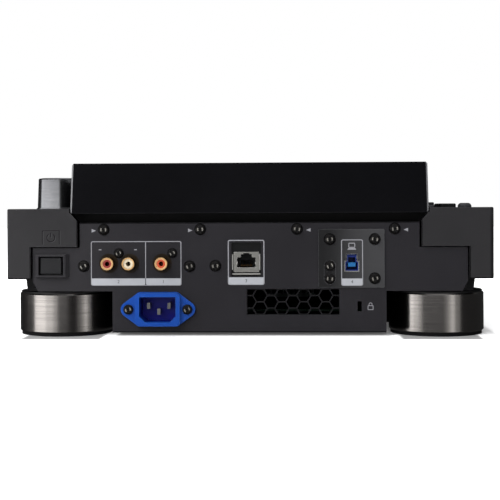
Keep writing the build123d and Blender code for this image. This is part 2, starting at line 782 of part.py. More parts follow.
write(panel_screws, "panel_screws")

tray_lip_under_z = tray_top_z - tray_wall
with BuildPart() as base_screws:
    with Locations(*[(x, y, tray_lip_under_z) for x, y in boss_places]):
        Cylinder(base_screw_head, base_screw_head_height, align=UNDER)
        Cylinder(base_screw_radius, tray_wall + base_screw_length - 1.0, align=ON_BASE)
write(base_screws, "base_screws")

# ======================================== sockets ===============================================
with BuildPart() as jack_bodies:
    with BuildSketch(at_y(panel_back_y)):
        with Locations(*[(x, jack_z - jack_block_bottom) for x in jack_xs]):
            Rectangle(jack_block_width, jack_block_top + jack_block_bottom, align=(Align.CENTER, Align.MIN))
    extrude(amount=jack_block_depth)
    with BuildSketch(at_y(panel_y - jack_collar_recess)):
        with Locations(*[(x, jack_z) for x in jack_xs]):
            Circle(jack_collar)
    extrude(amount=panel_thickness - jack_collar_recess)
    with BuildSketch(at_y(panel_y)):
        with Locations(*[(x, jack_z) for x in jack_xs]):
            Circle(jack_barrel_radius + fit_gap)
    extrude(amount=jack_root, mode=Mode.SUBTRACT)
write(jack_bodies, "jack_bodies")

with BuildPart() as jack_barrels:
    with BuildSketch(at_y(jack_tip_y)):
        with Locations(*[(x, jack_z) for x in jack_xs]):
            Circle(jack_barrel_radius)
            Circle(jack_barrel_radius - jack_barrel_wall, mode=Mode.SUBTRACT)
    extrude(amount=jack_reach + jack_root)
write(jack_barrels, "jack_barrels")

with BuildPart() as jack_insulators:
    with BuildSketch(at_y(jack_tip_y - jack_recess)):
        with Locations(*[(x, jack_z) for x in jack_xs]):
            Circle(jack_barrel_radius - jack_barrel_wall - running_fit)
    extrude(amount=jack_reach + jack_root - jack_recess)
    with BuildSketch(at_y(jack_tip_y)):
        with Locations(*[(x, jack_z) for x in jack_xs]):
            Circle(jack_bore)
    extrude(amount=jack_reach + jack_root - jack_bore_floor, mode=Mode.SUBTRACT)
write(jack_insulators, "jack_insulators")

with BuildPart() as ac_inlet:
    # The flange: a long oval that narrows to a round tip at each screw.
    with BuildSketch(at_y(panel_y + inlet_flange)) as flange_face:
        with Locations((inlet_x, inlet_z)):
            RectangleRounded(inlet_frame_width, inlet_flange_height, inlet_corner)
        with Locations((inlet_x - inlet_flange_width / 2 + inlet_tip_radius, inlet_z),
                       (inlet_x + inlet_flange_width / 2 - inlet_tip_radius, inlet_z)):
            Circle(inlet_tip_radius)
        make_hull()
        with Locations(*inlet_screws_at):
            Circle(screw_hole, mode=Mode.SUBTRACT)
    extrude(amount=inlet_flange)
    with BuildSketch(at_y(inlet_front_y)):
        with Locations((inlet_x, inlet_z)):
            RectangleRounded(inlet_frame_width, inlet_frame_height, inlet_corner)
    extrude(amount=inlet_frame)
    with BuildSketch(at_y(panel_y)):
        with Locations((inlet_x, inlet_z)):
            Rectangle(inlet_body_width, inlet_body_height)
    extrude(amount=inlet_body_depth)
    half_w = inlet_mouth_width / 2
    half_h = inlet_mouth_height / 2
    with BuildSketch(at_y(inlet_front_y)):
        with Locations((inlet_x, inlet_z)):
            Polygon(
                (-half_w, half_h), (-half_w, -half_h + inlet_mouth_chamfer),
                (-half_w + inlet_mouth_chamfer, -half_h), (half_w - inlet_mouth_chamfer, -half_h),
                (half_w, -half_h + inlet_mouth_chamfer), (half_w, half_h), align=None)
    extrude(amount=inlet_frame + inlet_flange + inlet_body_depth - inlet_floor, mode=Mode.SUBTRACT)
write(ac_inlet, "ac_inlet")

inlet_back_y = panel_y - inlet_body_depth + inlet_floor
with BuildPart() as ac_inlet_pins:
    with BuildSketch(at_y(inlet_front_y - inlet_pin_recess)):
        with Locations((inlet_x - inlet_pin_pitch / 2, inlet_z + inlet_pin_drop / 2),
                       (inlet_x + inlet_pin_pitch / 2, inlet_z + inlet_pin_drop / 2),
                       (inlet_x, inlet_z - inlet_pin_drop / 2)):
            Rectangle(inlet_pin_width, inlet_pin_height)
    extrude(amount=inlet_front_y - inlet_pin_recess - inlet_back_y)
write(ac_inlet_pins, "ac_inlet_pins")

lan_front_y = panel_y - lan_face_recess
with BuildPart() as lan_socket:
    with BuildSketch(at_y(lan_front_y)):
        with Locations((lan_x, lan_z)):
            Rectangle(lan_width, lan_height)
    extrude(amount=lan_depth)
    with BuildSketch(at_y(lan_front_y)):
        with Locations((lan_x, lan_z + lan_port_z)):
            Rectangle(lan_port_width, lan_port_height)
        with Locations((lan_x, lan_z + lan_port_z + lan_port_height / 2)):
            Rectangle(lan_latch_width, lan_latch_height, align=(Align.CENTER, Align.MIN))
    extrude(amount=lan_port_depth, mode=Mode.SUBTRACT)
write(lan_socket, "lan_socket")

with BuildPart() as lan_surround:
    with BuildSketch(at_y(panel_back_y)):
        with Locations((lan_x, lan_window_z[0] - panel_thickness)):
            Rectangle(lan_window_width + 2 * panel_thickness,
                      lan_window_z[1] - lan_window_z[0] + 2 * panel_thickness, align=(Align.CENTER, Align.MIN))
        with Locations((lan_x, lan_z)):
            Rectangle(lan_width + 2 * fit_gap, lan_height + 2 * fit_gap, mode=Mode.SUBTRACT)
    extrude(amount=panel_thickness)
write(lan_surround, "lan_surround")

usb_front_y = panel_y + plate_thickness - usb_face_recess
with BuildPart() as usb_b_shield:
    with BuildSketch(at_y(usb_front_y)) as shield_face:
        with Locations((usb_x, usb_bottom_z)):
            Rectangle(usb_lower_width, usb_step_z - usb_bottom_z, align=(Align.CENTER, Align.MIN))
            Rectangle(usb_upper_width, usb_top_z - usb_bottom_z, align=(Align.CENTER, Align.MIN))
        with Locations((usb_x, usb_bottom_z + usb_shield)):
            Rectangle(usb_lower_width - 2 * usb_shield, usb_step_z - usb_bottom_z - 2 * usb_shield,
                      align=(Align.CENTER, Align.MIN), mode=Mode.SUBTRACT)
            Rectangle(usb_upper_width - 2 * usb_shield, usb_top_z - usb_bottom_z - 2 * usb_shield,
                      align=(Align.CENTER, Align.MIN), mode=Mode.SUBTRACT)
    extrude(amount=usb_depth)
write(usb_b_shield, "usb_b_shield")

usb_inset = usb_shield + fit_gap
with BuildPart() as usb_b_tongue:
    # A thin liner along the shield, a block behind it, and two tongues that stand out of the block.
    with BuildSketch(at_y(usb_front_y - usb_liner_recess)):
        with Locations((usb_x, usb_bottom_z + usb_inset)):
            Rectangle(usb_lower_width - 2 * usb_inset, usb_step_z - usb_bottom_z - 2 * usb_inset,
                      align=(Align.CENTER, Align.MIN))
            Rectangle(usb_upper_width - 2 * usb_inset, usb_top_z - usb_bottom_z - 2 * usb_inset,
                      align=(Align.CENTER, Align.MIN))
    extrude(amount=usb_depth - usb_liner_recess)
    with BuildSketch(at_y(usb_front_y - usb_liner_recess)):
        with Locations((usb_x, usb_bottom_z + usb_inset + usb_liner)):
            Rectangle(usb_lower_width - 2 * (usb_inset + usb_liner),
                      usb_step_z - usb_bottom_z - 2 * (usb_inset + usb_liner), align=(Align.CENTER, Align.MIN))
            Rectangle(usb_upper_width - 2 * (usb_inset + usb_liner),
                      usb_top_z - usb_bottom_z - 2 * (usb_inset + usb_liner), align=(Align.CENTER, Align.MIN))
    extrude(amount=usb_depth - usb_liner_recess - usb_core_depth, mode=Mode.SUBTRACT)
    with BuildSketch(at_y(usb_front_y - usb_tongue_recess)):
        with Locations((usb_x, usb_tongue_z)):
            Rectangle(usb_tongue_width, usb_tongue_height)
        with Locations((usb_x, usb_upper_tongue_z)):
            Rectangle(usb_tongue_width, usb_upper_tongue_height)
    extrude(amount=usb_depth - usb_core_depth - usb_tongue_recess)
write(usb_b_tongue, "usb_b_tongue")

# ======================================== power button ==========================================
with BuildPart() as power_guard:
    with BuildSketch(Plane.XY.offset(power_z - guard_height / 2)):
        Polygon(
            (guard_outer_x, panel_y), (guard_outer_x, panel_y + guard_rise),
            (guard_inner_x + guard_slope, panel_y + guard_rise), (guard_inner_x, panel_y), align=None)
    extrude(amount=guard_height)
    chamfer(power_guard.faces().sort_by(Axis.Y)[-1].outer_wire().edges(), length=guard_edge)
    with BuildSketch(at_y(panel_y + guard_rise)):
        with Locations((power_x, power_z)):
            Rectangle(power_width + 2 * guard_side_gap, power_height + 2 * guard_end_gap)
    extrude(amount=guard_rise, mode=Mode.SUBTRACT)
write(power_guard, "power_guard")

power_back_y = panel_y - power_depth
with BuildPart() as power_switch:
    with BuildSketch(at_y(panel_back_y)):
        with Locations((power_x, power_z)):
            Rectangle(switch_width, switch_height)
    extrude(amount=switch_depth)
    with BuildSketch(at_y(panel_back_y)):
        with Locations((power_x, power_z)):
            Rectangle(power_width + 2 * slide_gap, power_height + 2 * slide_gap)
    extrude(amount=panel_back_y - power_back_y + power_travel + seat_gap, mode=Mode.SUBTRACT)
write(power_switch, "power_switch")

with BuildPart() as power_button:
    with BuildSketch(at_y(panel_y + power_rise)):
        with Locations((power_x, power_z)):
            RectangleRounded(power_width, power_height, power_edge)
    extrude(amount=power_rise + power_depth)
    fillet(power_button.faces().sort_by(Axis.Y)[-1].edges(), radius=power_edge / 2)
write(power_button, "power_button")

# ======================================== lower tray ============================================
belly_front_feet_y = foot_front_y + foot_radius + belly_foot_gap
belly_rear_feet_y = foot_rear_y - foot_radius - belly_foot_gap


# The tray's volume, and the same shrunk by a wall: a belly between the feet, wings over them.
tray_volumes = [(0.0, 0.0, Mode.ADD), (tray_wall, tray_wall, Mode.SUBTRACT)]

with BuildPart() as base_tray:
    for inset, floor, mode in tray_volumes:
        with BuildSketch(Plane.XY.offset(panel_bottom_z + floor)):
            with Locations((0, belly_front_y + inset)):
                Rectangle(2 * (panel_belly_half - inset), panel_back_y - belly_front_y - inset,
                          align=(Align.CENTER, Align.MIN))
            with Locations((0, belly_front_feet_y + inset)):
                Rectangle(2 * (belly_wide_half - inset), belly_rear_feet_y - belly_front_feet_y - 2 * inset,
                          align=(Align.CENTER, Align.MIN))
        extrude(amount=tray_wing_z - panel_bottom_z, mode=mode)
        wing_half = tray_half - inset
        with BuildSketch(at_y(panel_back_y)):
            Polygon(
                (-wing_half + tray_taper, tray_wing_z + floor), (wing_half - tray_taper, tray_wing_z + floor),
                (wing_half, tray_top_z + floor), (-wing_half, tray_top_z + floor), align=None)
        extrude(amount=panel_back_y - tray_front_y - inset, mode=mode)
    # The lip that the case's bosses stand on.
    with BuildSketch(Plane.XY.offset(tray_top_z)):
        with Locations((0, front_y + case_wall + seat_gap)):
            Rectangle(2 * tray_lip_half, panel_back_y - front_y - case_wall - seat_gap,
                      align=(Align.CENTER, Align.MIN))
        with Locations((0, tray_front_y + tray_wall)):
            Rectangle(2 * (tray_half - tray_wall), panel_back_y - tray_front_y,
                      align=(Align.CENTER, Align.MIN), mode=Mode.SUBTRACT)
    extrude(amount=-tray_wall)
    # Strips that the panel's wings lie against, and pillars for the boards.
    with BuildSketch(at_y(panel_back_y)):
        for side in (-1, 1):
            with Locations((side * (tray_half - tray_wall), tray_wing_z + tray_wall)):
                Rectangle(panel_strip, tray_top_z - tray_wing_z - tray_wall,
                          align=(Align.MAX if side > 0 else Align.MIN, Align.MIN))
    extrude(amount=tray_wall)
    with BuildSketch(Plane.XY.offset(tray_floor_z)):
        with Locations(*corners(main_board_x, main_board_y, board_inset),
                       *corners(supply_x, supply_y, board_inset)):
            Circle(standoff_radius)
    extrude(amount=board_standoff)
    with BuildSketch(Plane.XY.offset(tray_top_z)):
        with Locations(*boss_places):
            Circle(base_screw_radius + fit_gap)
    extrude(amount=-tray_wall, mode=Mode.SUBTRACT)
write(base_tray, "base_tray")

# ======================================== feet ==================================================
with BuildPart() as foot_sleeves:
    with BuildSketch(Plane.XY.offset(foot_pad_height)):
        with Locations(*foot_places):
            Circle(foot_radius)
            Circle(foot_radius - foot_sleeve_wall, mode=Mode.SUBTRACT)
    extrude(amount=foot_top_z - foot_pad_height)
    for end in (0, -1):
        rim = foot_sleeves.edges().filter_by(GeomType.CIRCLE).group_by(Axis.Z)[end]
        chamfer(rim.group_by(SortBy.RADIUS)[-1], length=foot_sleeve_chamfer)
write(foot_sleeves, "foot_sleeves")

with BuildPart() as foot_cores:
    with BuildSketch(Plane.XY.offset(foot_pad_height)):
        with Locations(*foot_places):
            Circle(foot_radius - foot_sleeve_wall - fit_gap)
    extrude(amount=foot_top_z - foot_pad_height)
    with BuildSketch(Plane.XY.offset(foot_top_z)):
        with Locations(*foot_places):
            Circle(foot_radius - foot_lip_inset)
    extrude(amount=foot_lip_height)
    with BuildSketch(Plane.XY.offset(foot_top_z + foot_lip_height)):
        with Locations(*foot_places):
            Circle(foot_radius - foot_dish_rim)
    extrude(amount=-foot_dish_depth, mode=Mode.SUBTRACT)
    with BuildSketch(Plane.XY.offset(foot_top_z + foot_lip_height - foot_dish_depth)):
        with Locations(*foot_places):
            Circle(foot_neck_radius)
    extrude(amount=tray_wing_z - foot_top_z - foot_lip_height + foot_dish_depth)
write(foot_cores, "foot_cores")

with BuildPart() as foot_pads:
    with BuildSketch():
        with Locations(*foot_places):
            Circle(foot_pad_radius)
    extrude(amount=foot_pad_height)
write(foot_pads, "foot_pads")

# ======================================== jog wheel =============================================
jog_web_top = jog_underside_z + jog_web


def ring_profile(inner, outer, low, high):
    """A rectangle of a turned part's section, from inner to outer radius and low to high."""
    with Locations((inner, low)):
        Rectangle(outer - inner, high - low, align=MIN2)


with BuildPart() as jog_base:
    with BuildSketch(jog_section):
        ring_profile(0, jog_base_inner + jog_base_wall, jog_base_z, jog_base_z + jog_base_floor)
        ring_profile(jog_base_inner, jog_base_inner + jog_base_wall, jog_base_z, deck_under_z)
        ring_profile(jog_base_inner, jog_base_inner + jog_base_flange, deck_under_z - jog_base_wall,
                     deck_under_z)
        ring_profile(0, jog_post_radius, jog_base_z, jog_display_z)
    revolve(axis=jog_axis)
write(jog_base, "jog_base")

with BuildPart() as jog_hub:
    with BuildSketch(jog_section):
        bore = jog_post_radius + running_fit
        ring_profile(bore, jog_hub_radius, jog_base_z + jog_base_floor + seat_gap, jog_web_top)
        ring_profile(bore, jog_rim_inner + jog_hub_lip, jog_underside_z, jog_web_top)
        ring_profile(jog_encoder_radius - jog_encoder_wall, jog_encoder_radius, jog_encoder_z,
                     jog_underside_z)
    revolve(axis=jog_axis)
    # The slots that the encoder counts.
    with Locations((0, jog_y, jog_encoder_z)):
        with PolarLocations(jog_encoder_radius, jog_encoder_slots):
            Box(3 * jog_encoder_wall, 3.0, 7.0, align=ON_BASE, mode=Mode.SUBTRACT)
write(jog_hub, "jog_hub")

with BuildPart() as jog_rim:
    with BuildSketch(jog_section):
        Polygon(
            (jog_rim_inner + fit_gap, jog_web_top), (jog_rim_inner + jog_hub_lip + fit_gap, jog_web_top),
            (jog_rim_inner + jog_hub_lip + fit_gap, jog_underside_z), (jog_radius - 1.0, jog_underside_z),
            (jog_radius, jog_underside_z + 1.0), (jog_radius, jog_rim_top_z - 3.0),
            (jog_radius - 3.0, jog_rim_top_z), (jog_rim_inner + fit_gap, jog_rim_top_z), align=None)
    revolve(axis=jog_axis)
    # Finger dimples scooped out of the outer edge.
    with Locations((0, jog_y, jog_rim_top_z)):
        with PolarLocations(jog_radius + dimple_reach, dimple_count):
            Sphere(dimple_radius, mode=Mode.SUBTRACT)
write(jog_rim, "jog_rim")

with BuildPart() as jog_platter:
    with BuildSketch(jog_section):
        ring_profile(jog_platter_inner, jog_rim_inner, jog_web_top, jog_platter_top_z)
    revolve(axis=jog_axis)
    chamfer(jog_platter.faces().sort_by(Axis.Z)[-1].edges(), length=0.6)
write(jog_platter, "jog_platter")

with BuildPart() as jog_display:
    with BuildSketch(jog_section):
        ring_profile(0, jog_display_radius, jog_display_z, jog_display_top_z)
    revolve(axis=jog_axis)
    fillet(jog_display.faces().sort_by(Axis.Z)[-1].edges(), radius=0.5)
write(jog_display, "jog_display")

# ======================================== keys ==================================================
flange_top_z = deck_under_z - seat_gap
flange_z = flange_top_z - key_flange_thickness
stem_z = key_board_z + key_travel + seat_gap

for name, x, y, width, length, corner, rise in keys:
    with BuildPart() as key:
        with BuildSketch(Plane.XY.offset(flange_top_z)):
            with Locations((x, y)):
                key_outline(width, length, corner)
        extrude(amount=deck_z + rise - flange_top_z)
        fillet(key.faces().sort_by(Axis.Z)[-1].edges(), radius=stop_key_edge if name == "stop_button" else key_edge)
        with BuildSketch(Plane.XY.offset(flange_z)):
            with Locations((x, y)):
                key_outline(width, length, corner, key_flange)
        extrude(amount=key_flange_thickness)
        with BuildSketch(Plane.XY.offset(stem_z)):
            with Locations((x, y)):
                Circle(key_stem_radius)
        extrude(amount=flange_z - stem_z)
    write(key, name)

with BuildPart() as key_boards:
    with BuildSketch(Plane.XY.offset(key_board_z)):
        for x, y, width, length, posts in boards:
            with Locations((x, y)):
                Rectangle(width, length)
    extrude(amount=-key_board_thickness)
write(key_boards, "key_boards")

# ======================================== selector and adjusting knobs ==========================
shaft_bottom_z = deck_under_z - encoder_height + shaft_gap_below
shaft_top_z = selector_top_z - shaft_cover
with BuildPart() as rotary_controls:
    with BuildSketch(Plane.XY.offset(deck_under_z)):
        with Locations((selector_x, selector_y)):
            Rectangle(encoder_size, encoder_size)
        with Locations(*adjust_places):
            Rectangle(adjust_size, adjust_size)
    extrude(amount=-encoder_height)
    with BuildSketch(Plane.XY.offset(deck_under_z)):
        with Locations((selector_x, selector_y), *adjust_places):
            Circle(bush_radius)
    extrude(amount=deck_thickness)
    with BuildSketch(Plane.XY.offset(shaft_bottom_z - selector_travel - seat_gap)):
        with Locations((selector_x, selector_y), *adjust_places):
            Circle(shaft_radius + running_fit)
    extrude(amount=above_deck - shaft_bottom_z, mode=Mode.SUBTRACT)
write(rotary_controls, "rotary_controls")

with BuildPart() as selector_shaft:
    with BuildSketch(Plane.XY.offset(shaft_bottom_z)):
        with Locations((selector_x, selector_y)):
            Circle(shaft_radius)
    extrude(amount=shaft_top_z - shaft_bottom_z)
write(selector_shaft, "selector_shaft")

with BuildPart() as selector_knob:
    with BuildSketch(Plane.XY.offset(selector_z)):
        with Locations((selector_x, selector_y)):
            Circle(selector_radius)
    with BuildSketch(Plane.XY.offset(selector_top_z)):
        with Locations((selector_x, selector_y)):
            Circle(selector_top_radius)
    loft()
    fillet(selector_knob.faces().sort_by(Axis.Z)[-1].edges(), radius=1.0)
    with BuildSketch(Plane.XY.offset(selector_z)):
        with Locations((selector_x, selector_y)):
            Circle(shaft_radius + running_fit)
    extrude(amount=shaft_top_z + seat_gap - selector_z, mode=Mode.SUBTRACT)
write(selector_knob, "selector_knob")

for name, (x, y) in zip(("vinyl_speed_knob", "jog_adjust_knob"), adjust_places):
    with BuildPart() as adjust_knob:
        with BuildSketch(Plane.XY.offset(adjust_z)):
            with Locations((x, y)):
                Circle(adjust_radius)
        with BuildSketch(Plane.XY.offset(adjust_top_z)):
            with Locations((x, y)):
                Circle(adjust_top_radius)
        loft()
        with BuildSketch(Plane.XY.offset(adjust_top_z)):
            with Locations((x, y + adjust_top_radius / 2)):
                Rectangle(1.0, adjust_top_radius)
        extrude(amount=-0.5, mode=Mode.SUBTRACT)
        with BuildSketch(Plane.XY.offset(shaft_bottom_z)):
            with Locations((x, y)):
                Circle(shaft_radius)
        extrude(amount=adjust_z - shaft_bottom_z)
    write(adjust_knob, name)

# ======================================== tempo fader ===========================================
fader_frame_z = deck_under_z - fader_frame_depth
carriage_z = fader_frame_z + fader_frame_wall + seat_gap
carriage_width = fader_frame_width - 2 * (fader_frame_wall + seat_gap)
fader_stem_top_z = fader_cap_z + fader_cap_height - 3.0

with BuildPart() as fader_frame:
    with BuildSketch(Plane.XY.offset(fader_frame_z)):
        with Locations((column_x, fader_y)):
            Rectangle(fader_frame_width, fader_frame_length)
    extrude(amount=fader_frame_depth)
    with BuildSketch(Plane.XY.offset(fader_frame_z + fader_frame_wall)):
        with Locations((column_x, fader_y)):
            Rectangle(fader_frame_width - 2 * fader_frame_wall, fader_frame_length - 2 * fader_frame_wall)
    extrude(amount=fader_frame_depth, mode=Mode.SUBTRACT)
write(fader_frame, "fader_frame")

with BuildPart() as fader_carriage:
    with BuildSketch(Plane.XY.offset(carriage_z)):
        with Locations((column_x, fader_y)):
            Rectangle(carriage_width, carriage_length)
    extrude(amount=carriage_height)
    with BuildSketch(Plane.XY.offset(carriage_z + carriage_height)):
        with Locations((column_x, fader_y)):
            Rectangle(fader_stem_width, fader_stem_length)
    extrude(amount=fader_stem_top_z - carriage_z - carriage_height)
write(fader_carriage, "fader_carriage")

with BuildPart() as fader_cap:
    # A saddle: raised at both ends, dished for the finger, with a line across the middle.
    half_length = fader_cap_length / 2
    with BuildSketch(Plane.YZ.offset(column_x)):
        with BuildLine():
            base_left = (fader_y - half_length, fader_cap_z)
            base_right = (fader_y + half_length, fader_cap_z)
            top_left = (fader_y - half_length + fader_cap_slope, fader_cap_z + fader_cap_height)
            top_right = (fader_y + half_length - fader_cap_slope, fader_cap_z + fader_cap_height)
            Polyline(top_left, base_left, base_right, top_right)
            ThreePointArc(top_right, (fader_y, fader_cap_z + fader_cap_height - 1.6), top_left)
        make_face()
    extrude(amount=fader_cap_width / 2, both=True)
    with BuildSketch(Plane.XY.offset(fader_cap_z)):
        with Locations((column_x, fader_y)):
            Rectangle(fader_stem_width + 2 * fit_gap, fader_stem_length + 2 * fit_gap)
    extrude(amount=fader_stem_top_z - fader_cap_z, mode=Mode.SUBTRACT)
write(fader_cap, "fader_cap")

# ======================================== direction lever =======================================
ear_x = lever_stem_width / 2 + seat_gap + ear_thickness / 2
with BuildPart() as lever_bracket:
    with BuildSketch(Plane.XY.offset(bracket_floor_z)):
        with Locations((lever_x, lever_y)):
            Rectangle(2 * ear_x + ear_thickness, ear_length)
    extrude(amount=ear_thickness)
    with BuildSketch(Plane.XY.offset(bracket_floor_z)):
        with Locations((lever_x - ear_x, lever_y), (lever_x + ear_x, lever_y)):
            Rectangle(ear_thickness, ear_length)
    extrude(amount=deck_under_z - bracket_floor_z)
    with BuildSketch(Plane.YZ.offset(lever_x)):
        with Locations((lever_y, lever_pivot_z)):
            Circle(lever_axle_radius + running_fit)
    extrude(amount=2 * ear_x, both=True, mode=Mode.SUBTRACT)
write(lever_bracket, "lever_bracket")

with BuildPart() as direction_lever:
    with BuildSketch(Plane.YZ.offset(lever_x)):
        with Locations((lever_y, lever_pivot_z)):
            Circle(lever_axle_radius)
    extrude(amount=ear_x + ear_thickness / 2, both=True)
    with BuildSketch(Plane.XY.offset(lever_pivot_z - lever_below)):
        with Locations((lever_x, lever_y)):
            Rectangle(lever_stem_width, lever_stem_length)
    extrude(amount=lever_paddle_z - lever_pivot_z + lever_below)
    with BuildSketch(Plane.XY.offset(lever_paddle_z)):
        with Locations((lever_x, lever_y)):
            RectangleRounded(lever_paddle_width, lever_paddle_length, 2.0)
    extrude(amount=lever_top_z - lever_paddle_z)
    fillet(direction_lever.faces().sort_by(Axis.Z)[-1].edges(), radius=1.2)
write(direction_lever, "direction_lever")

# ======================================== media port ============================================
port_outer_width = port_mouth_width + 2 * port_wall
port_outer_length = port_mouth_length + 2 * port_wall
with BuildPart() as media_port:
    with BuildSketch(Plane.XY.offset(deck_z)):
        with Locations((port_x, port_y)):
            RectangleRounded(port_width, port_length, 1.5)
    extrude(amount=port_rise)
    chamfer(media_port.faces().sort_by(Axis.Z)[-1].edges(), length=0.6)
    with BuildSketch(Plane.XY.offset(deck_z)):
        with Locations((port_x, port_y)):
            Rectangle(port_outer_width, port_outer_length)
    extrude(amount=-port_depth)
    with BuildSketch(Plane.XY.offset(deck_z + port_rise)):
        with Locations((port_x, port_y)):
            Rectangle(port_mouth_width, port_mouth_length)
        with Locations((port_x + port_mouth_width / 2, port_y)):
            Rectangle(port_tongue, port_mouth_length - 2.0, align=(Align.MAX, Align.CENTER),
                      mode=Mode.SUBTRACT)
    extrude(amount=-(port_rise + port_depth - port_wall), mode=Mode.SUBTRACT)
write(media_port, "media_port")

# ======================================== boards inside =========================================
with BuildPart() as main_board:
    with BuildSketch(Plane.XY.offset(board_z)):
        with Locations((main_board_x[0], main_board_y[0])):
            Rectangle(main_board_x[1] - main_board_x[0], main_board_y[1] - main_board_y[0], align=MIN2)
    extrude(amount=board_thickness)
    # A finned heatsink over the processor.
    sink_x = (main_board_x[0] + main_board_x[1]) / 2
    sink_y = (main_board_y[0] + main_board_y[1]) / 2
    with BuildSketch(Plane.XY.offset(board_z + board_thickness)):
        with Locations((sink_x, sink_y)):
            Rectangle(heatsink_size, heatsink_size)
    extrude(amount=heatsink_base)
    with BuildSketch(Plane.XY.offset(board_z + board_thickness + heatsink_base)):
        with Locations((sink_x, sink_y)):
            with GridLocations(heatsink_size / fin_count, 0, fin_count, 1):
                Rectangle(fin_thickness, heatsink_size)
    extrude(amount=heatsink_height - heatsink_base)
write(main_board, "main_board")

with BuildPart() as power_supply:
    with BuildSketch(Plane.XY.offset(board_z)):
        with Locations((supply_x[0], supply_y[0])):
            Rectangle(supply_x[1] - supply_x[0], supply_y[1] - supply_y[0], align=MIN2)
    extrude(amount=board_thickness)
    supply_mid_x = (supply_x[0] + supply_x[1]) / 2
    with BuildSketch(Plane.XY.offset(board_z + board_thickness)):
        with Locations((supply_mid_x, supply_y[0] + transformer_y)):
            Rectangle(transformer_width, transformer_length)
    extrude(amount=transformer_height)
    with BuildSketch(Plane.XY.offset(board_z + board_thickness)):
        with Locations((supply_mid_x, supply_y[0] + capacitor_y)):
            with GridLocations(capacitor_pitch, 0, 2, 1):
                Circle(capacitor_radius)
    extrude(amount=capacitor_height)
write(power_supply, "power_supply")
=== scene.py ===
"""Looks of a tabletop media player: materials, printed marks, socket detail, light and camera."""

import math

import bpy
import numpy as np
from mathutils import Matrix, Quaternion, Vector

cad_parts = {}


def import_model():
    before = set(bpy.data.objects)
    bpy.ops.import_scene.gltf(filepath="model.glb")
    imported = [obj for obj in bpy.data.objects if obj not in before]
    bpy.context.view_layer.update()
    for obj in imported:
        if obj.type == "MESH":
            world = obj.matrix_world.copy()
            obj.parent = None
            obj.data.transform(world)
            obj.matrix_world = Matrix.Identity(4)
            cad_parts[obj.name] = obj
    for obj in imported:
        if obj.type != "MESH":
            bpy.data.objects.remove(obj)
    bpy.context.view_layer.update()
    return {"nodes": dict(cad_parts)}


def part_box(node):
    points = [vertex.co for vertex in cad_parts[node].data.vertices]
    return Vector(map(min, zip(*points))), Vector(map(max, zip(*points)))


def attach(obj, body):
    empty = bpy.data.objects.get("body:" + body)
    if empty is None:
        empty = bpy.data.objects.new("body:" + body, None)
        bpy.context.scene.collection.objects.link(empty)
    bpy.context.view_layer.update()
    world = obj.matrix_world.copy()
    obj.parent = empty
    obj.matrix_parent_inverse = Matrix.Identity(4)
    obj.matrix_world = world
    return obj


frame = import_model()
MM, MICRON = 1e-3, 1e-6  # in metres

# ---- sizes, mm
PANEL_Y = 218.5          # outer face of the rear panel
REAR_Y = 220.8           # rear faces of the case
PLATE_Y = 219.5          # outer face of the connector plate
DECK_Z = 87.0            # top of the case
PRINT_LIFT = 0.05        # ink stands this far off what it is printed on
LAN_X, LAN_Y = 1.6, 218.0
USB_X, USB_TONGUE_Z = -69.6, 48.5
JACK_X, JACK_Z = (95.3, 81.0, 58.8), 49.7
JOG_X, JOG_Y = 0.0, -80.0


# ---- node helpers
def srgb(r, g, b):
    """Linear colour of an 8-bit display colour: c = ((v + 0.055) / 1.055) ** 2.4 above the toe."""
    v = np.array([r, g, b], dtype=float) / 255.0
    return tuple(np.where(v <= 0.04045, v / 12.92, ((v + 0.055) / 1.055) ** 2.4)) + (1.0,)


def add(tree, kind, **settings):
    """A new shader node of that kind. A setting is a property of the node, or an input socket where the key
    is "in_" and the socket's name with underscores."""
    node = tree.nodes.new("ShaderNode" + kind)
    for key, value in settings.items():
        if key.startswith("in_"):
            name = key[3:].replace("_", " ")
            socket = node.inputs[int(name)] if name.isdigit() else node.inputs[name]
            if isinstance(value, bpy.types.NodeSocket):
                tree.links.new(value, socket)
            else:
                socket.default_value = value
        else:
            setattr(node, key, value)
    return node


def maths(tree, operation, a, b=0.0, clamp=False):
    """One Math node: operation of a and b, each a number or a socket."""
    return add(tree, "Math", operation=operation, use_clamp=clamp, in_0=a, in_1=b).outputs[0]


def times(tree, a, b, clamp=False):
    """a * b"""
    return maths(tree, "MULTIPLY", a, b, clamp)


def plus(tree, a, b, clamp=False):
    """a + b"""
    return maths(tree, "ADD", a, b, clamp)


def minus(tree, a, b):
    """a - b"""
    return maths(tree, "SUBTRACT", a, b)


def ramp(tree, value, low, high, to_low=0.0, to_high=1.0):
    """A smooth step: to_low below low, to_high above high, and a soft S curve in between."""
    return add(tree, "MapRange", interpolation_type="SMOOTHSTEP", in_Value=value, in_From_Min=low, in_From_Max=high,
               in_To_Min=to_low, in_To_Max=to_high).outputs["Result"]


def fall(tree, value, low, high):
    """A smooth step the other way: 1 below low, 0 above high."""
    return ramp(tree, value, low, high, 1.0, 0.0)


def between(tree, value, low, high, soft=0.0002):
    """1 where low < value < high, with edges soft metres wide."""
    return times(tree, ramp(tree, value, low - soft, low + soft), fall(tree, value, high - soft, high + soft))


def parts_of(tree, where):
    """X, Y and Z of a point as sockets."""
    split = add(tree, "SeparateXYZ", in_Vector=where)
    return split.outputs["X"], split.outputs["Y"], split.outputs["Z"]


def noise(tree, vector, scale, detail, rough=0.5):
    """Fractal noise of a vector, from 0 to 1 about 0.5."""
    return add(tree, "TexNoise", in_Vector=vector, in_Scale=scale, in_Detail=detail, in_Roughness=rough).outputs["Fac"]


def level_offset(tree, where, centre):
    """How far a point lies from centre in X and Y."""
    off = add(tree, "VectorMath", operation="SUBTRACT", in_0=where, in_1=centre)
    return add(tree, "VectorMath", operation="MULTIPLY", in_0=off.outputs[0], in_1=(1.0, 1.0, 0.0)).outputs[0]


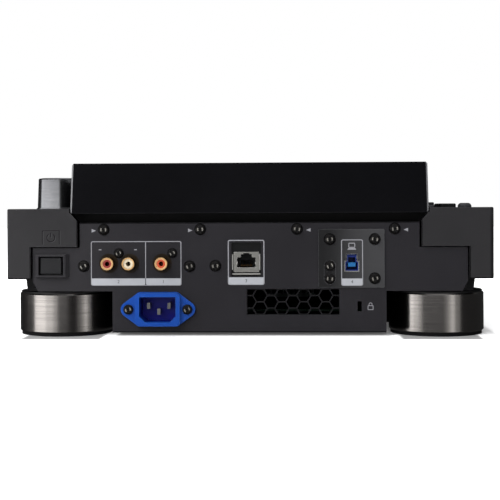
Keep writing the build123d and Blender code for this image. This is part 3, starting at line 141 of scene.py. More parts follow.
def blend(tree, factor, a, b):
    """Mixes colour a to colour b by factor."""
    return add(tree, "Mix", data_type="RGBA", in_0=factor, in_6=a, in_7=b).outputs[2]


def group(name, outputs, **inputs):
    """An empty node group. Its inputs are Vector and those named, floats where the default is a number and
    vectors elsewhere; its outputs are floats. Returns its tree, the sockets that it is given and those that it
    has to fill."""
    tree = bpy.data.node_groups.new(name, "ShaderNodeTree")
    for label, value in {"Vector": None, **inputs}.items():
        kind = "NodeSocketFloat" if isinstance(value, float) else "NodeSocketVector"
        socket = tree.interface.new_socket(label, in_out="INPUT", socket_type=kind)
        if value is not None:
            socket.default_value = value
    for label in outputs:
        tree.interface.new_socket(label, in_out="OUTPUT", socket_type="NodeSocketFloat")
    return tree, tree.nodes.new("NodeGroupInput").outputs, tree.nodes.new("NodeGroupOutput").inputs


def grain_group():
    """Moulded or painted texture: a fine cell pattern for the height, and a slow drift for the tone."""
    tree, given, result = group("surface_grain", ("Height", "Tone"), Scale=2600.0, Drift=14.0)
    cells = add(tree, "TexVoronoi", feature="SMOOTH_F1", in_Vector=given["Vector"], in_Scale=given["Scale"])
    fine = noise(tree, given["Vector"], given["Scale"], 3.0, 0.6)
    slow = noise(tree, given["Vector"], given["Drift"], 4.0, 0.55)
    tree.links.new(plus(tree, times(tree, cells.outputs["Distance"], 0.7), times(tree, fine, 0.5)), result["Height"])
    tree.links.new(slow, result["Tone"])
    return tree


def edge_group():
    """Rubbed edges, and on some finishes painted edge highlights: how far the rounded normal turns from the face's own,
    broken up by noise.
    """
    tree, given, result = group("edge_wear_and_sheen", ("Mask",), Width=0.0005, Amount=1.0)
    bevel = add(tree, "Bevel", samples=4, in_Radius=given["Width"])
    face = add(tree, "NewGeometry")
    turn = add(tree, "VectorMath", operation="DOT_PRODUCT", in_0=bevel.outputs["Normal"], in_1=face.outputs["Normal"])
    rub = noise(tree, given["Vector"], 420.0, 4.0)
    broken = times(tree, fall(tree, turn.outputs["Value"], 0.80, 0.995), ramp(tree, rub, 0.25, 0.6, 0.45, 1.0))
    tree.links.new(times(tree, broken, given["Amount"], clamp=True), result["Mask"])
    return tree


def dust_group():
    """A thin film on what faces up, gathered in specks and faint smears."""
    tree, given, result = group("dust_film", ("Mask",), Amount=0.1)
    face = add(tree, "NewGeometry")
    up = ramp(tree, parts_of(tree, face.outputs["Normal"])[2], 0.2, 0.95)
    specks = noise(tree, given["Vector"], 900.0, 2.0)
    smear = noise(tree, given["Vector"], 22.0, 5.0)
    mask = plus(tree, ramp(tree, specks, 0.66, 0.74), ramp(tree, smear, 0.42, 0.7, 0.0, 0.5))
    tree.links.new(times(tree, times(tree, mask, up), given["Amount"], clamp=True), result["Mask"])
    return tree


def brush_group():
    """Brush or lathe lines: noise stretched along the cut by an already scaled vector."""
    tree, given, result = group("brush_lines", ("Height", "Tone"), Stretch=(30.0, 30.0, 9000.0))
    stretched = add(tree, "VectorMath", operation="MULTIPLY", in_0=given["Vector"], in_1=given["Stretch"])
    tree.links.new(noise(tree, stretched.outputs[0], 1.0, 3.0, 0.7), result["Height"])
    tree.links.new(noise(tree, stretched.outputs[0], 0.22, 2.0), result["Tone"])
    return tree


def turned_group():
    """Concentric lathe lines about a vertical axis: noise of the distance from the centre."""
    tree, given, result = group("turned_lines", ("Height",), Centre=None, Scale=4000.0)
    flat = level_offset(tree, given["Vector"], given["Centre"])
    radius = add(tree, "VectorMath", operation="LENGTH", in_0=flat).outputs["Value"]
    fine = add(tree, "TexNoise", noise_dimensions="1D", in_W=times(tree, radius, given["Scale"]),
               in_Scale=1.0, in_Detail=2.0)
    tree.links.new(fine.outputs["Fac"], result["Height"])
    return tree


GRAIN, EDGE, DUST, BRUSH, TURNED = grain_group(), edge_group(), dust_group(), brush_group(), turned_group()


def use(tree, which, **inputs):
    """Puts a node group into a material; inputs go by socket name. Returns its outputs."""
    return add(tree, "Group", node_tree=which, **{"in_" + key: value for key, value in inputs.items()}).outputs


def surface(name, colour, rough, metal=0.0, coat=0.0, grain=(2600.0, 20), tone=0.10, wear=None, dust=0.05,
            spec=0.5, brush=None, turned=None, rough_swing=0.06, aniso=0.0, paint=None):
    """A finished surface: colour with a slow tone drift, grain in the bump, rubbed edges, on some finishes also painted
    edge highlights, and a little dust.

    Colours are 8-bit display values and depths are microns. grain is (cells per metre, depth); brush is (stretch
    vector, depth); turned is (centre in metres, lines per metre, depth). wear is the colour that the edges
    turn to, an amount and a width in mm; it is rubbed wear, and on the inlet and the contacts also a painted highlight
    along the edges. With aniso the highlights draw out upwards, or away from the centre of the turned lines.
    paint(tree, where, shade, shader) returns a shade of its own for parts of the surface, and may link sockets of the
    shader too.
    """
    mat = bpy.data.materials.new(name)
    mat.use_nodes = True
    tree = mat.node_tree
    shader = tree.nodes["Principled BSDF"]
    where = add(tree, "TexCoord").outputs["Object"]
    textured = use(tree, GRAIN, Vector=where, Scale=grain[0])
    base = np.array(srgb(*colour))
    dark = tuple(base[:3] * (1.0 - tone)) + (1.0,)
    light = tuple(np.minimum(base[:3] * (1.0 + tone), 1.0)) + (1.0,)
    shade = blend(tree, ramp(tree, textured["Tone"], 0.3, 0.7), dark, light)
    height, depth = textured["Height"], grain[1]
    rough_value = plus(tree, rough - rough_swing / 2, times(tree, textured["Tone"], rough_swing), clamp=True)
    if brush or turned:
        if brush:
            lines, depth = use(tree, BRUSH, Vector=where, Stretch=brush[0]), brush[1]
            rough_value = plus(tree, rough_value, times(tree, lines["Tone"], rough_swing), clamp=True)
        else:
            lines, depth = use(tree, TURNED, Vector=where, Centre=turned[0], Scale=turned[1]), turned[2]
        height = lines["Height"]
        shade = blend(tree, ramp(tree, height, 0.3, 0.7), dark, shade)
    if paint:
        shade = paint(tree, where, shade, shader)
    if wear:
        rubbed = use(tree, EDGE, Vector=where, Width=wear[4] * MM, Amount=wear[3])
        shade = blend(tree, rubbed["Mask"], shade, srgb(*wear[:3]))
    if dust:
        film = use(tree, DUST, Vector=where, Amount=dust)
        shade = blend(tree, film["Mask"], shade, srgb(150, 148, 145))
        rough_value = plus(tree, rough_value, times(tree, film["Mask"], 0.4), clamp=True)
    tree.links.new(shade, shader.inputs["Base Color"])
    tree.links.new(rough_value, shader.inputs["Roughness"])
    bump = add(tree, "Bump", in_Strength=1.0, in_Distance=depth * MICRON, in_Height=height)
    tree.links.new(bump.outputs["Normal"], shader.inputs["Normal"])
    plain = {"Metallic": metal, "IOR": 1.5, "Specular IOR Level": spec, "Anisotropic": aniso}
    if coat:
        plain.update({"Coat Weight": coat, "Coat Roughness": 0.08})
    for socket, value in plain.items():
        if not shader.inputs[socket].is_linked:
            shader.inputs[socket].default_value = value
    if aniso:
        up = add(tree, "CombineXYZ", in_Z=1.0).outputs[0]
        tree.links.new(level_offset(tree, where, turned[0]) if turned else up, shader.inputs["Tangent"])
    return mat


def paint_case(tree, where, shade, shader):
    """Painted shade: the step under the display unit is painted near black, darker towards its foot, where shade falls:
    |X| < 124 mm, 209 < Y < 219.6 mm, Z over 73.2 mm. So are narrow borders of the shoulders along the rear panel's
    gap, a painted shadow of the gap, and more softly their lower and -X edges, painted shade on the rounding."""
    x, y, z = parts_of(tree, where)
    side, rear = maths(tree, "ABSOLUTE", x), ramp(tree, y, 0.2180, 0.2190)
    # Painted shade on the step under the display unit.
    step = times(tree, fall(tree, side, 0.1238, 0.1242), between(tree, y, 0.2090, 0.2196))
    step = times(tree, step, between(tree, z, 0.0732, 0.0868))
    # Painted shadow of the gap on the shoulders' borders beside the rear panel.
    inner = times(tree, fall(tree, side, 0.1166, 0.1174), ramp(tree, z, 0.0609, 0.0613))
    outer = times(tree, fall(tree, side, 0.1486, 0.1494), fall(tree, z, 0.0609, 0.0611))
    shaded_border = times(tree, plus(tree, inner, outer), rear)
    mask = maths(tree, "MAXIMUM", step, times(tree, shaded_border, 0.92))
    # Painted shade on the rounded -X and lower edges of the rear face.
    shaded_rounding = maths(tree, "MAXIMUM", fall(tree, x, -0.1625, -0.1619), fall(tree, z, 0.0396, 0.0401))
    mask = maths(tree, "MAXIMUM", mask, times(tree, times(tree, shaded_rounding, rear), 0.60))
    tree.links.new(minus(tree, 0.5, times(tree, mask, 0.45)), shader.inputs["Specular IOR Level"])
    # The painted shade is near black, darker towards the foot of the step.
    black = blend(tree, ramp(tree, z, 0.0745, 0.0835), (0.0008, 0.0008, 0.0008, 1.0), (0.0060, 0.0060, 0.0062, 1.0))
    return blend(tree, mask, shade, black)


def paint_plate(tree, where, shade, shader):
    """Painted light and shade: the connector plate's paint runs from darker at X = -49 mm to lighter at
    X = -88 mm, a falloff of the light painted across it.
    """
    x, _, _ = parts_of(tree, where)
    # Painted light towards X = -88 mm, painted shade towards -49 mm.
    lighter = blend(tree, ramp(tree, x, -0.088, -0.049, 0.5, 0.0), shade, srgb(66, 66, 68))
    return blend(tree, ramp(tree, x, -0.070, -0.049, 0.0, 0.4), lighter, srgb(6, 6, 7))


def paint_panel(tree, where, shade, shader):
    """Painted shade: dark lines along the top and bottom edges of the rear panel, over Z = 76.7 mm and under 3.5 mm.
    Painted light: its paint is a little lighter from X = 70 to 140 mm."""
    x, _, z = parts_of(tree, where)
    # Painted light towards +X on the panel.
    shade = blend(tree, ramp(tree, x, 0.07, 0.14, 0.0, 0.55), shade, srgb(47, 46, 48))
    # Painted shade along the top and bottom edges.
    edge = plus(tree, ramp(tree, z, 0.0765, 0.0769), fall(tree, z, 0.0033, 0.0037))
    return blend(tree, edge, shade, srgb(4, 4, 5))


def paint_display(tree, where, shade, shader):
    """Painted highlight: the bevels down the two sides of the rear face are painted light grey, as if they caught
    the light; there |normal X| lies near 0.7.
    """
    face = add(tree, "NewGeometry")
    turn = maths(tree, "ABSOLUTE", parts_of(tree, face.outputs["Normal"])[0])
    _, _, z = parts_of(tree, where)
    # Painted highlight on the side bevels.
    bevel = times(tree, between(tree, turn, 0.45, 0.92, 0.03), ramp(tree, z, 0.0838, 0.0842))
    return blend(tree, bevel, shade, srgb(112, 112, 114))


def paint_insulator(tree, where, shade, shader):
    """One rear disc in red, one in white and one in orange, told apart by X, each with a pale outer ring that
    begins 2.9 mm out from the jack's middle."""
    far, near, last = (value * MM for value in JACK_X)
    x, _, z = parts_of(tree, where)
    red, orange = ramp(tree, x, 0.0880, 0.0882), fall(tree, x, 0.0698, 0.0700)
    middle_x = plus(tree, near, times(tree, red, far - near))
    middle_x = minus(tree, middle_x, times(tree, orange, near - last))
    out = maths(tree, "POWER", minus(tree, x, middle_x), 2.0)
    out = maths(tree, "SQRT", plus(tree, out, maths(tree, "POWER", minus(tree, z, JACK_Z * MM), 2.0)))
    shade = blend(tree, red, shade, srgb(126, 40, 36))
    shade = blend(tree, orange, shade, srgb(168, 60, 26))
    pale = blend(tree, plus(tree, red, orange), srgb(190, 178, 150), srgb(206, 160, 112))
    return blend(tree, ramp(tree, out, 0.0027, 0.0031), shade, pale)


def paint_gold(tree, where, shade, shader):
    """Painted highlight: the turned front edges of the jacks, everything further out than Y = 226.0 mm, are painted
    pale and made barely metallic, so they read bright.
    """
    _, y, _ = parts_of(tree, where)
    # Painted highlight on the front edges.
    edge = ramp(tree, y, 0.2259, 0.2262)
    tree.links.new(minus(tree, 1.0, times(tree, edge, 0.8)), shader.inputs["Metallic"])
    return blend(tree, edge, shade, srgb(178, 138, 92))


def paint_shield(tree, where, shade, shader):
    """Plated metal in front, black plastic further in than Y = 217.4 mm, and painted shade on the upper part of the
    square shield, which is darker.
    """
    x, y, z = parts_of(tree, where)
    front = ramp(tree, y, 0.2172, 0.2176)
    tree.links.new(times(tree, front, 0.45), shader.inputs["Metallic"])
    shade = blend(tree, front, srgb(12, 11, 12), shade)
    # Painted shade on the upper part of the square shield.
    top = times(tree, fall(tree, x, -0.0600, -0.0598), ramp(tree, z, 0.0506, 0.0514))
    return blend(tree, top, shade, srgb(24, 26, 32))


def paint_inlet(tree, where, shade, shader):
    """Painted shade: the cavity turns from the rim's blue to a deeper navy between Y = 218 and 215 mm, darker deeper
    in.
    """
    _, y, _ = parts_of(tree, where)
    # Painted shade deeper in the cavity.
    return blend(tree, fall(tree, y, 0.2150, 0.2180), shade, srgb(10, 12, 112))


def paint_port(tree, where, shade, shader):
    """Painted highlight: the tongue of the square socket is painted a bright blue among the dark navy round it, as
    if lit: 47.1 < Z < 50.0 mm near its middle.
    """
    x, _, z = parts_of(tree, where)
    # Painted highlight on the tongue.
    mask = times(tree, between(tree, x, -0.0723, -0.0669), between(tree, z, 0.0471, 0.0500, 0.0001))
    return blend(tree, mask, shade, srgb(16, 84, 136))


JOG_CENTRE = (JOG_X * MM, JOG_Y * MM, 0.0)
SLOT_MATERIALS = {
    "case": surface("case_paint", (33, 32, 34), 0.50, paint=paint_case, grain=(3800, 12), wear=(92, 92, 96, 0.35, 0.5)),
    "display_case": surface("display_paint", (9, 9, 11), 0.40, spec=0.03, paint=paint_display, grain=(4200, 8),
            wear=(70, 70, 74, 0.3, 0.4)),
    "screen": surface("screen_glass", (3, 3, 4), 0.05, coat=1.0, grain=(900, 0), tone=0.3, rough_swing=0.03,
            wear=(60, 62, 66, 0.35, 0.5), dust=0.04),
    "panel": surface("panel_paint", (32, 31, 34), 0.6, spec=0.12, paint=paint_panel, grain=(3400, 14),
            wear=(80, 80, 84, 0.3, 0.4)),
    "plate": surface("plate_steel", (33, 33, 34), 0.52, spec=0.16, paint=paint_plate, grain=(3000, 12),
            wear=(120, 120, 124, 0.5, 0.4)),
    "tray": surface("tray_paint", (5, 5, 6), 0.55, spec=0.3, grain=(3400, 14), wear=(84, 84, 88, 0.3, 0.4)),
    "grille": surface("grille_plastic", (14, 14, 15), 0.5, spec=0.3, grain=(3600, 10), wear=(70, 70, 74, 0.35, 0.35)),
    "foot_metal": surface("foot_brushed", (170, 165, 161), 0.19, metal=1.0, tone=0.13, brush=((26.0, 26.0, 1500.0), 10),
            wear=(240, 238, 234, 0.7, 0.5), aniso=0.3),
    "foot_core": surface("foot_core_plastic", (14, 14, 15), 0.5, grain=(3000, 15)),
    "foot_rubber": surface("foot_rubber", (9, 9, 10), 0.8, grain=(2200, 30), tone=0.2),
    "black_screw": surface("black_screw", (15, 14, 14), 0.36, spec=0.3, grain=(2500, 10), wear=(40, 39, 39, 0.5, 0.2)),
    "connector_black": surface("connector_black", (12, 12, 13), 0.4, grain=(3000, 10), wear=(60, 60, 63, 0.3, 0.3)),
    "gold": surface("gold_plate", (170, 126, 60), 0.26, metal=1.0, paint=paint_gold, tone=0.08, grain=(1800, 6),
            wear=(250, 225, 165, 0.6, 0.3)),
    "insulator": surface("insulator", (186, 174, 150), 0.4, paint=paint_insulator, grain=(2600, 8)),
    # The inlet's light blue edge colour is a painted highlight along its rim lines, as well as wear.
    "inlet_blue": surface("inlet_blue", (3, 55, 132), 0.42, spec=0.2, paint=paint_inlet, grain=(2800, 10),
            wear=(66, 112, 186, 0.4, 0.4)),
    # The pins' bright edge colour is a painted highlight, as well as wear.
    "contact": surface("contact_metal", (122, 121, 120), 0.24, metal=0.5, grain=(2000, 6),
            wear=(240, 238, 232, 0.5, 0.2)),
    "shield": surface("shield_metal", (122, 121, 117), 0.42, metal=1.0, paint=paint_shield, grain=(1600, 10),
            wear=(236, 234, 230, 0.7, 0.3)),
    "port_blue": surface("port_blue", (8, 24, 92), 0.4, spec=0.3, paint=paint_port, grain=(2800, 8),
            wear=(60, 120, 190, 0.3, 0.2)),
    "jog_metal": surface("jog_turned", (96, 96, 99), 0.30, metal=1.0, turned=(JOG_CENTRE, 3200.0, 10), aniso=0.7,
            wear=(190, 190, 194, 0.6, 0.5)),
    "jog_rim": surface("jog_rim_rubberised", (38, 38, 41), 0.5, grain=(3600, 16), wear=(100, 100, 104, 0.4, 0.6)),
    "jog_hub": surface("jog_hub_plastic", (20, 20, 22), 0.45, grain=(3200, 10)),
    "die_cast": surface("die_cast", (120, 120, 122), 0.45, metal=0.9, grain=(1400, 30)),
    "key": surface("key_plastic", (44, 44, 47), 0.5, grain=(3600, 12), wear=(110, 110, 114, 0.4, 0.4)),
    "transport_key": surface("transport_key", (30, 30, 33), 0.36, grain=(3200, 10), wear=(120, 120, 124, 0.5, 0.5)),
    "knob_metal": surface("knob_metal", (186, 186, 188), 0.15, metal=1.0, brush=((60.0, 60.0, 3000.0), 6),
            wear=(236, 236, 238, 0.4, 0.3), aniso=0.2),
    "knob": surface("knob_soft", (26, 26, 28), 0.6, grain=(3000, 20), wear=(84, 84, 88, 0.4, 0.4)),
    "steel": surface("steel", (170, 170, 170), 0.32, metal=1.0, grain=(1500, 10)),
    "board": surface("board", (12, 34, 22), 0.5, grain=(1500, 30), tone=0.25),
}

for thing in frame["nodes"].values():
    for slot in thing.material_slots:
        slot.material = SLOT_MATERIALS[slot.material.name.split(".")[0]]


# ---- shape helpers, all in mm
class Patch:
    """Flat or solid shapes gathered as arrays: points (n, 3) in mm and faces as index lists."""

    def __init__(self):
        self.points, self.faces, self.count = [], [], 0

    def take(self, points, faces):
        """Adds points and faces whose indices start at zero."""
        shifted = [tuple(np.asarray(face) + self.count) for face in faces]
        self.points.append(np.asarray(points, dtype=float))
        self.faces.extend(shifted)
        self.count += len(points)
        return self

    def ink(self, shape, face, lift=PRINT_LIFT):
        """Lays flat points and their faces on a frame and adds them."""
        return self.take(lay(shape[0], face, lift), shape[1])


def plane(origin, across, up):
    """A flat coordinate frame: origin in mm, unit vectors along u and v. w runs out along u x v."""
    u, v = np.array(across, dtype=float), np.array(up, dtype=float)
    return np.array(origin, dtype=float), u, v, np.cross(u, v)


def facing_back(y, x=0.0, z=0.0):
    """A frame that faces +Y: u runs to -X and v up, as the back of the player is seen."""
    return plane((x, y, z), (-1, 0, 0), (0, 0, 1))


def facing_up(z, x=0.0, y=0.0):
    """A frame that faces up: u runs to +X and v to +Y."""
    return plane((x, y, z), (1, 0, 0), (0, 1, 0))


REAR, PLATE, SHOULDER = facing_back(PANEL_Y), facing_back(PLATE_Y), facing_back(REAR_Y)
DECK = facing_up(DECK_Z)


def lay(flat, face, lift=PRINT_LIFT):
    """Maps flat (u, v) points to mm in space: origin + u * across + v * up + lift * outward."""
    origin, u, v, w = face
    flat = np.asarray(flat, dtype=float)
    return origin + flat[:, :1] * u + flat[:, 1:2] * v + lift * w


def arc(centre, radius, start, end, count=24):
    """Points on a circle from angle start to end in degrees: centre + radius * (cos a, sin a)."""
    a = np.radians(np.linspace(start, end, count))
    return np.column_stack([centre[0] + radius * np.cos(a), centre[1] + radius * np.sin(a)])


def rounded(x0, y0, x1, y1, radius, count=6, corners=(1, 1, 1, 1)):
    """Outline of a rectangle with quarter circles at the corners marked 1, anticlockwise from x1, y0."""
    spots = [(x1, y0, -1, 1, -90), (x1, y1, -1, -1, 0), (x0, y1, 1, -1, 90), (x0, y0, 1, 1, 180)]
    parts = []
    for (x, y, sx, sy, first), on in zip(spots, corners):
        r = radius if on else 0.001
        parts.append(arc((x + sx * r, y + sy * r), r, first, first + 90, count))
    return np.vstack(parts)


def ribbon(path, width, closed=False):
    """A stroke of even width along a flat path: each point moves half the width along the mean of its
    two edge normals, lengthened by one over the cosine of half the turn. Returns points and quads."""
    path = np.asarray(path, dtype=float)
    after = np.roll(path, -1, axis=0) - path
    before = path - np.roll(path, 1, axis=0)
    if not closed:
        after[-1], before[0] = before[-1], after[0]
    unit = lambda d: d / np.maximum(np.linalg.norm(d, axis=1, keepdims=True), 1e-9)
    after, before = unit(after), unit(before)
    side = unit(np.column_stack([-(after + before)[:, 1], (after + before)[:, 0]]))
    stretch = 1.0 / np.maximum(np.sum(side * np.column_stack([-after[:, 1], after[:, 0]]), axis=1), 0.35)
    shift = side * (stretch * width / 2)[:, None]
    points = np.vstack([path - shift, path + shift])
    n = len(path)
    i = np.arange(n if closed else n - 1)
    j = (i + 1) % n
    return points, np.column_stack([i, j, j + n, i + n])


def filled(outline):
    """One face inside an outline that runs anticlockwise."""
    return np.asarray(outline, dtype=float), [tuple(range(len(outline)))]


def bar(x0, y0, x1, y1):
    """Corners of an upright rectangle, anticlockwise."""
    return np.array([(x0, y0), (x1, y0), (x1, y1), (x0, y1)])


def dot(x, y, radius):
    """Outline of a small round dot."""
    return arc((x, y), radius, 0, 360, 25)[:-1]


def ring(centre, inner, outer, count=48):
    """A flat ring between two radii."""
    return ribbon(arc(centre, (inner + outer) / 2, 0, 360, count + 1)[:-1], outer - inner, closed=True)


def extrude(flat, faces, onto, low, high, cap_low=False):
    """A slab over flat faces: the same faces at height high, walls round their open edges down to low.
    cap_low closes the underside too."""
    flat = np.asarray(flat, dtype=float)
    n = len(flat)
    edges = dict.fromkeys((int(a), int(b)) for face in faces for a, b in zip(face, np.roll(face, -1)))
    # top faces use the first n points, the walls run down to the copies
    walls = [(b, a, a + n, b + n) for (a, b) in edges if (b, a) not in edges]
    points = np.vstack([lay(flat, onto, high), lay(flat, onto, low)])
    out = [tuple(f) for f in faces] + walls
    if cap_low:
        out += [tuple(int(k) + n for k in reversed(tuple(f))) for f in faces]
    return points, out


def lathe(profile, x, y, count=96):
    """Turns (radius, height) points about a vertical axis through x, y: (x + r cos a, y + r sin a, h).
    The profile runs anticlockwise seen with radius to the right and height up, and closes on itself."""
    profile = np.asarray(profile, dtype=float)
    a = np.linspace(0, 2 * np.pi, count, endpoint=False)
    r, h = profile[:, 0], profile[:, 1]
    ring_xyz = np.stack([np.outer(np.cos(a), r), np.outer(np.sin(a), r), np.tile(h, (count, 1))], axis=-1)
    m = len(profile)
    i, k = np.meshgrid(np.arange(count), np.arange(m), indexing="ij")
    i2, k2 = (i + 1) % count, (k + 1) % m
    quads = np.stack([i * m + k, i2 * m + k, i2 * m + k2, i * m + k2], axis=-1).reshape(-1, 4)
    return ring_xyz.reshape(-1, 3) + (x, y, 0.0), quads


def bead(radius, half_width, top, sunk, rise, foot):
    """Profile of a rounded bar: (radius + half_width cos t, top - sunk + rise sin t) over a flat foot."""
    t = np.linspace(0, np.pi, 9)
    dome = np.column_stack([radius + half_width * np.cos(t), top - sunk + rise * np.sin(t)])
    return np.vstack([dome, [(radius - half_width, top - foot), (radius + half_width, top - foot)]])


def loft(outlines):
    """Skins a stack of outlines with the same count of points, lowest first, and closes both ends."""
    stack = np.asarray(outlines, dtype=float)
    m, n = stack.shape[:2]
    k, i = np.meshgrid(np.arange(m - 1), np.arange(n), indexing="ij")
    i2 = (i + 1) % n
    quads = np.stack([k * n + i, k * n + i2, (k + 1) * n + i2, (k + 1) * n + i], axis=-1).reshape(-1, 4)
    faces = [tuple(q) for q in quads] + [tuple(range((m - 1) * n, m * n)), tuple(range(n - 1, -1, -1))]
    return stack.reshape(-1, 3), faces


def soft_block(width, height, radius, low, high, edge, face, at=(0.0, 0.0)):
    """A block with rounded plan corners and a rolled top edge: the outline draws in by
    edge * (1 - cos t) while the height rises by edge * sin t."""
    t = np.linspace(0, np.pi / 2, 5)
    insets = np.concatenate([[0.0, 0.0], edge * (1 - np.cos(t))])
    heights = np.concatenate([[low, low + 1e-3], high - edge + edge * np.sin(t)])
    layers = []
    for inset, lift in zip(insets, heights):
        u, v = width / 2 - inset, height / 2 - inset
        layers.append(lay(rounded(-u, -v, u, v, max(radius - inset, 0.05), 8) + np.array(at), face, lift))
    return loft(layers)


def corners_of(mesh):
    """The vertices of a mesh as rows of x, y and z."""
    flat = np.empty(len(mesh.vertices) * 3)
    mesh.vertices.foreach_get("co", flat)
    return flat.reshape(-1, 3)


def glyphs(text, size, at):
    """Plain numerals or signs as flat outlines turned into mesh. Returns flat points and faces."""
    curve = bpy.data.curves.new("numeral", "FONT")
    curve.body, curve.size, curve.resolution_u = text, size, 4
    curve.align_x = curve.align_y = "CENTER"
    thing = bpy.data.objects.new("numeral", curve)
    mesh = bpy.data.meshes.new_from_object(thing)
    points, faces = corners_of(mesh)[:, :2] + at, [tuple(p.vertices) for p in mesh.polygons]
    bpy.data.objects.remove(thing)
    bpy.data.curves.remove(curve)
    bpy.data.meshes.remove(mesh)
    return points, faces


def placed(name, data):
    """A new object in the scene."""
    thing = bpy.data.objects.new(name, data)
    bpy.context.scene.collection.objects.link(thing)
    return thing


def piece(name, patch, material, body, smooth=False):
    """Turns gathered shapes into an object at the origin that rides on a body."""
    points = np.vstack(patch.points) * MM
    mesh = bpy.data.meshes.new(name)
    mesh.from_pydata(points.tolist(), [], [tuple(int(k) for k in f) for f in patch.faces])
    mesh.validate()
    mesh.update()
    mesh.materials.append(material)
    if smooth:
        mesh.polygons.foreach_set("use_smooth", np.ones(len(mesh.polygons), dtype=bool))
        mesh.set_sharp_from_angle(angle=math.radians(38))
    thing = placed(name, mesh)
    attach(thing, body)
    return thing


# ---- finishes of the added pieces
INK = surface("ink_grey", (122, 122, 127), 0.5, grain=(5200, 6), tone=0.05, dust=0.0)
INK_BAND = surface("ink_band", (143, 145, 150), 0.5, grain=(5200, 6), tone=0.05, dust=0.0)
INK_DARK = surface("ink_dark", (34, 34, 37), 0.5, grain=(5200, 6), tone=0.1, dust=0.0)
DECK_INK = surface("ink_deck", (196, 197, 200), 0.5, grain=(5200, 6), tone=0.05, dust=0.02)
# Painted shade and painted highlight for the raised power sign.
EMBOSS_SHADE = surface("case_emboss", (9, 9, 10), 0.5, spec=0.2, grain=(3800, 10), dust=0.0)
EMBOSS_HIGHLIGHT = surface("case_emboss_highlight", (66, 65, 68), 0.45, grain=(3800, 10), dust=0.0)
# Painted glints on the screw heads.
SCREW_GLINT = surface("screw_painted_glint", (124, 121, 115), 0.3, metal=0.4, tone=0.2, grain=(2600, 10), dust=0.0)
# Painted shadow rings round the screw heads.
SHADOW_BLACK = surface("painted_shadow_black", (5, 5, 5), 0.6, spec=0.1, grain=(2600, 10), tone=0.2, dust=0.0)
# Painted shade in the recesses round the phono jacks.
RECESS_SHADE = surface("recess_painted_shade", (25, 18, 9), 0.5, spec=0.2, grain=(2600, 10), tone=0.2, dust=0.0)
PORT_BLACK = surface("port_plastic", (11, 10, 11), 0.45, grain=(3000, 10))
GASKET = surface("spring_steel", (150, 149, 145), 0.3, metal=0.4, tone=0.1, grain=(1500, 10),
        wear=(240, 238, 234, 0.5, 0.2))
GOLD_WIRE = surface("gold_wire", (124, 92, 54), 0.3, metal=1.0, tone=0.1, grain=(2200, 6))
BRIGHT_RING = surface("bright_ring", (178, 178, 181), 0.24, metal=1.0, tone=0.08, brush=((50.0, 50.0, 5000.0), 6),
        wear=(238, 238, 240, 0.5, 0.3))
GLOSS_BLACK = surface("gloss_black", (6, 6, 7), 0.12, coat=1.0, grain=(1200, 2), tone=0.2, rough_swing=0.05,
        wear=(70, 70, 74, 0.4, 0.3))
SOFT_GRIP = surface("soft_grip", (20, 20, 22), 0.7, grain=(3400, 20), tone=0.15, wear=(70, 70, 74, 0.4, 0.3))
LIGHT_GUIDE = surface("light_guide", (150, 154, 160), 0.25, coat=0.6, grain=(1800, 4), tone=0.06)


def middle(node):
    """Centre of a CAD node in mm, and the height of its top."""
    low, high = (np.array(c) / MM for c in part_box(node))
    centre = (low + high) / 2
    return centre[0], centre[1], high[2]


# ---- marks on the rear panel
def mark_frames():
    """Line frames round groups of sockets, each with a filled band at its foot: strokes of even width along
    rounded rectangles. Bands have rounded lower corners."""
    lines, bands, numbers = Patch(), Patch(), Patch()
    number = 0
    groups = [
        (REAR, 46.0, 107.2, 34.9, 64.5, 39.5, (70.1,), 0.55),
        (REAR, -10.3, 13.8, 35.3, 65.1, 40.1, (), 0.7),
        (PLATE, -76.8, -62.7, 34.6, 65.2, 39.2, (), 0.6),
    ]
    for face, x0, x1, z0, z1, z_band, dividers, width in groups:
        lines.ink(ribbon(rounded(-x1, z0, -x0, z1, 1.0), width, closed=True), face)
        for x in dividers:
            lines.ink(ribbon([(-x, z_band), (-x, z1)], width), face)
        edges = [x0, *dividers, x1]
        for a, b in zip(edges[:-1], edges[1:]):
            number += 1
            band = rounded(-b + 0.25, z0, -a - 0.25, z_band, 1.3, corners=(1, 0, 0, 1))
            bands.ink(filled(band), face, PRINT_LIFT * 1.6)
            numbers.ink(glyphs(str(number), 3.1, (-(a + b) / 2, (z0 + z_band) / 2)), face, PRINT_LIFT * 2.4)
    piece("panel_frames", lines, INK, "chassis")
    piece("panel_bands", bands, INK_BAND, "chassis")
    piece("panel_numbers", numbers, INK_DARK, "chassis")


def mark_signs():
    """Small signs: arrowheads at the top screws, a laptop over the USB socket, a padlock by the lock slot and
    a dash by two of the phono jacks."""
    signs = Patch()
    for x, way in ((105.4, 1), (39.6, 1), (-40.4, -1), (-106.0, -1)):
        tip = np.array([(-1.5, -1.2), (1.5, 0.0), (-1.5, 1.2)])
        if way < 0:
            tip = tip[::-1] * (-1, 1)
        signs.ink(filled(tip + (-x, 72.0)), REAR)
    for x in (101.2, 77.0):
        signs.ink(filled(bar(-x - 0.9, 58.7, -x + 0.9, 59.3)), REAR)
    u, v = 69.6, 60.8
    signs.ink(ribbon(rounded(u - 2.0, v - 0.6, u + 2.0, v + 2.2, 0.4), 0.55, closed=True), PLATE)
    signs.ink(filled([(u - 3.0, v - 2.2), (u + 3.0, v - 2.2), (u + 2.3, v - 1.1), (u - 2.3, v - 1.1)]), PLATE)
    u, v = 82.1, 19.8
    signs.ink(ribbon(rounded(u - 1.7, v - 1.7, u + 1.7, v + 1.0, 0.3), 0.45, closed=True), REAR)
    bow = np.vstack([[(u + 1.0, v + 1.0)], arc((u, v + 1.9), 1.0, 0, 180, 13), [(u - 1.0, v + 1.0)]])
    signs.ink(ribbon(bow, 0.42), REAR)
    piece("panel_signs", signs, INK, "chassis")


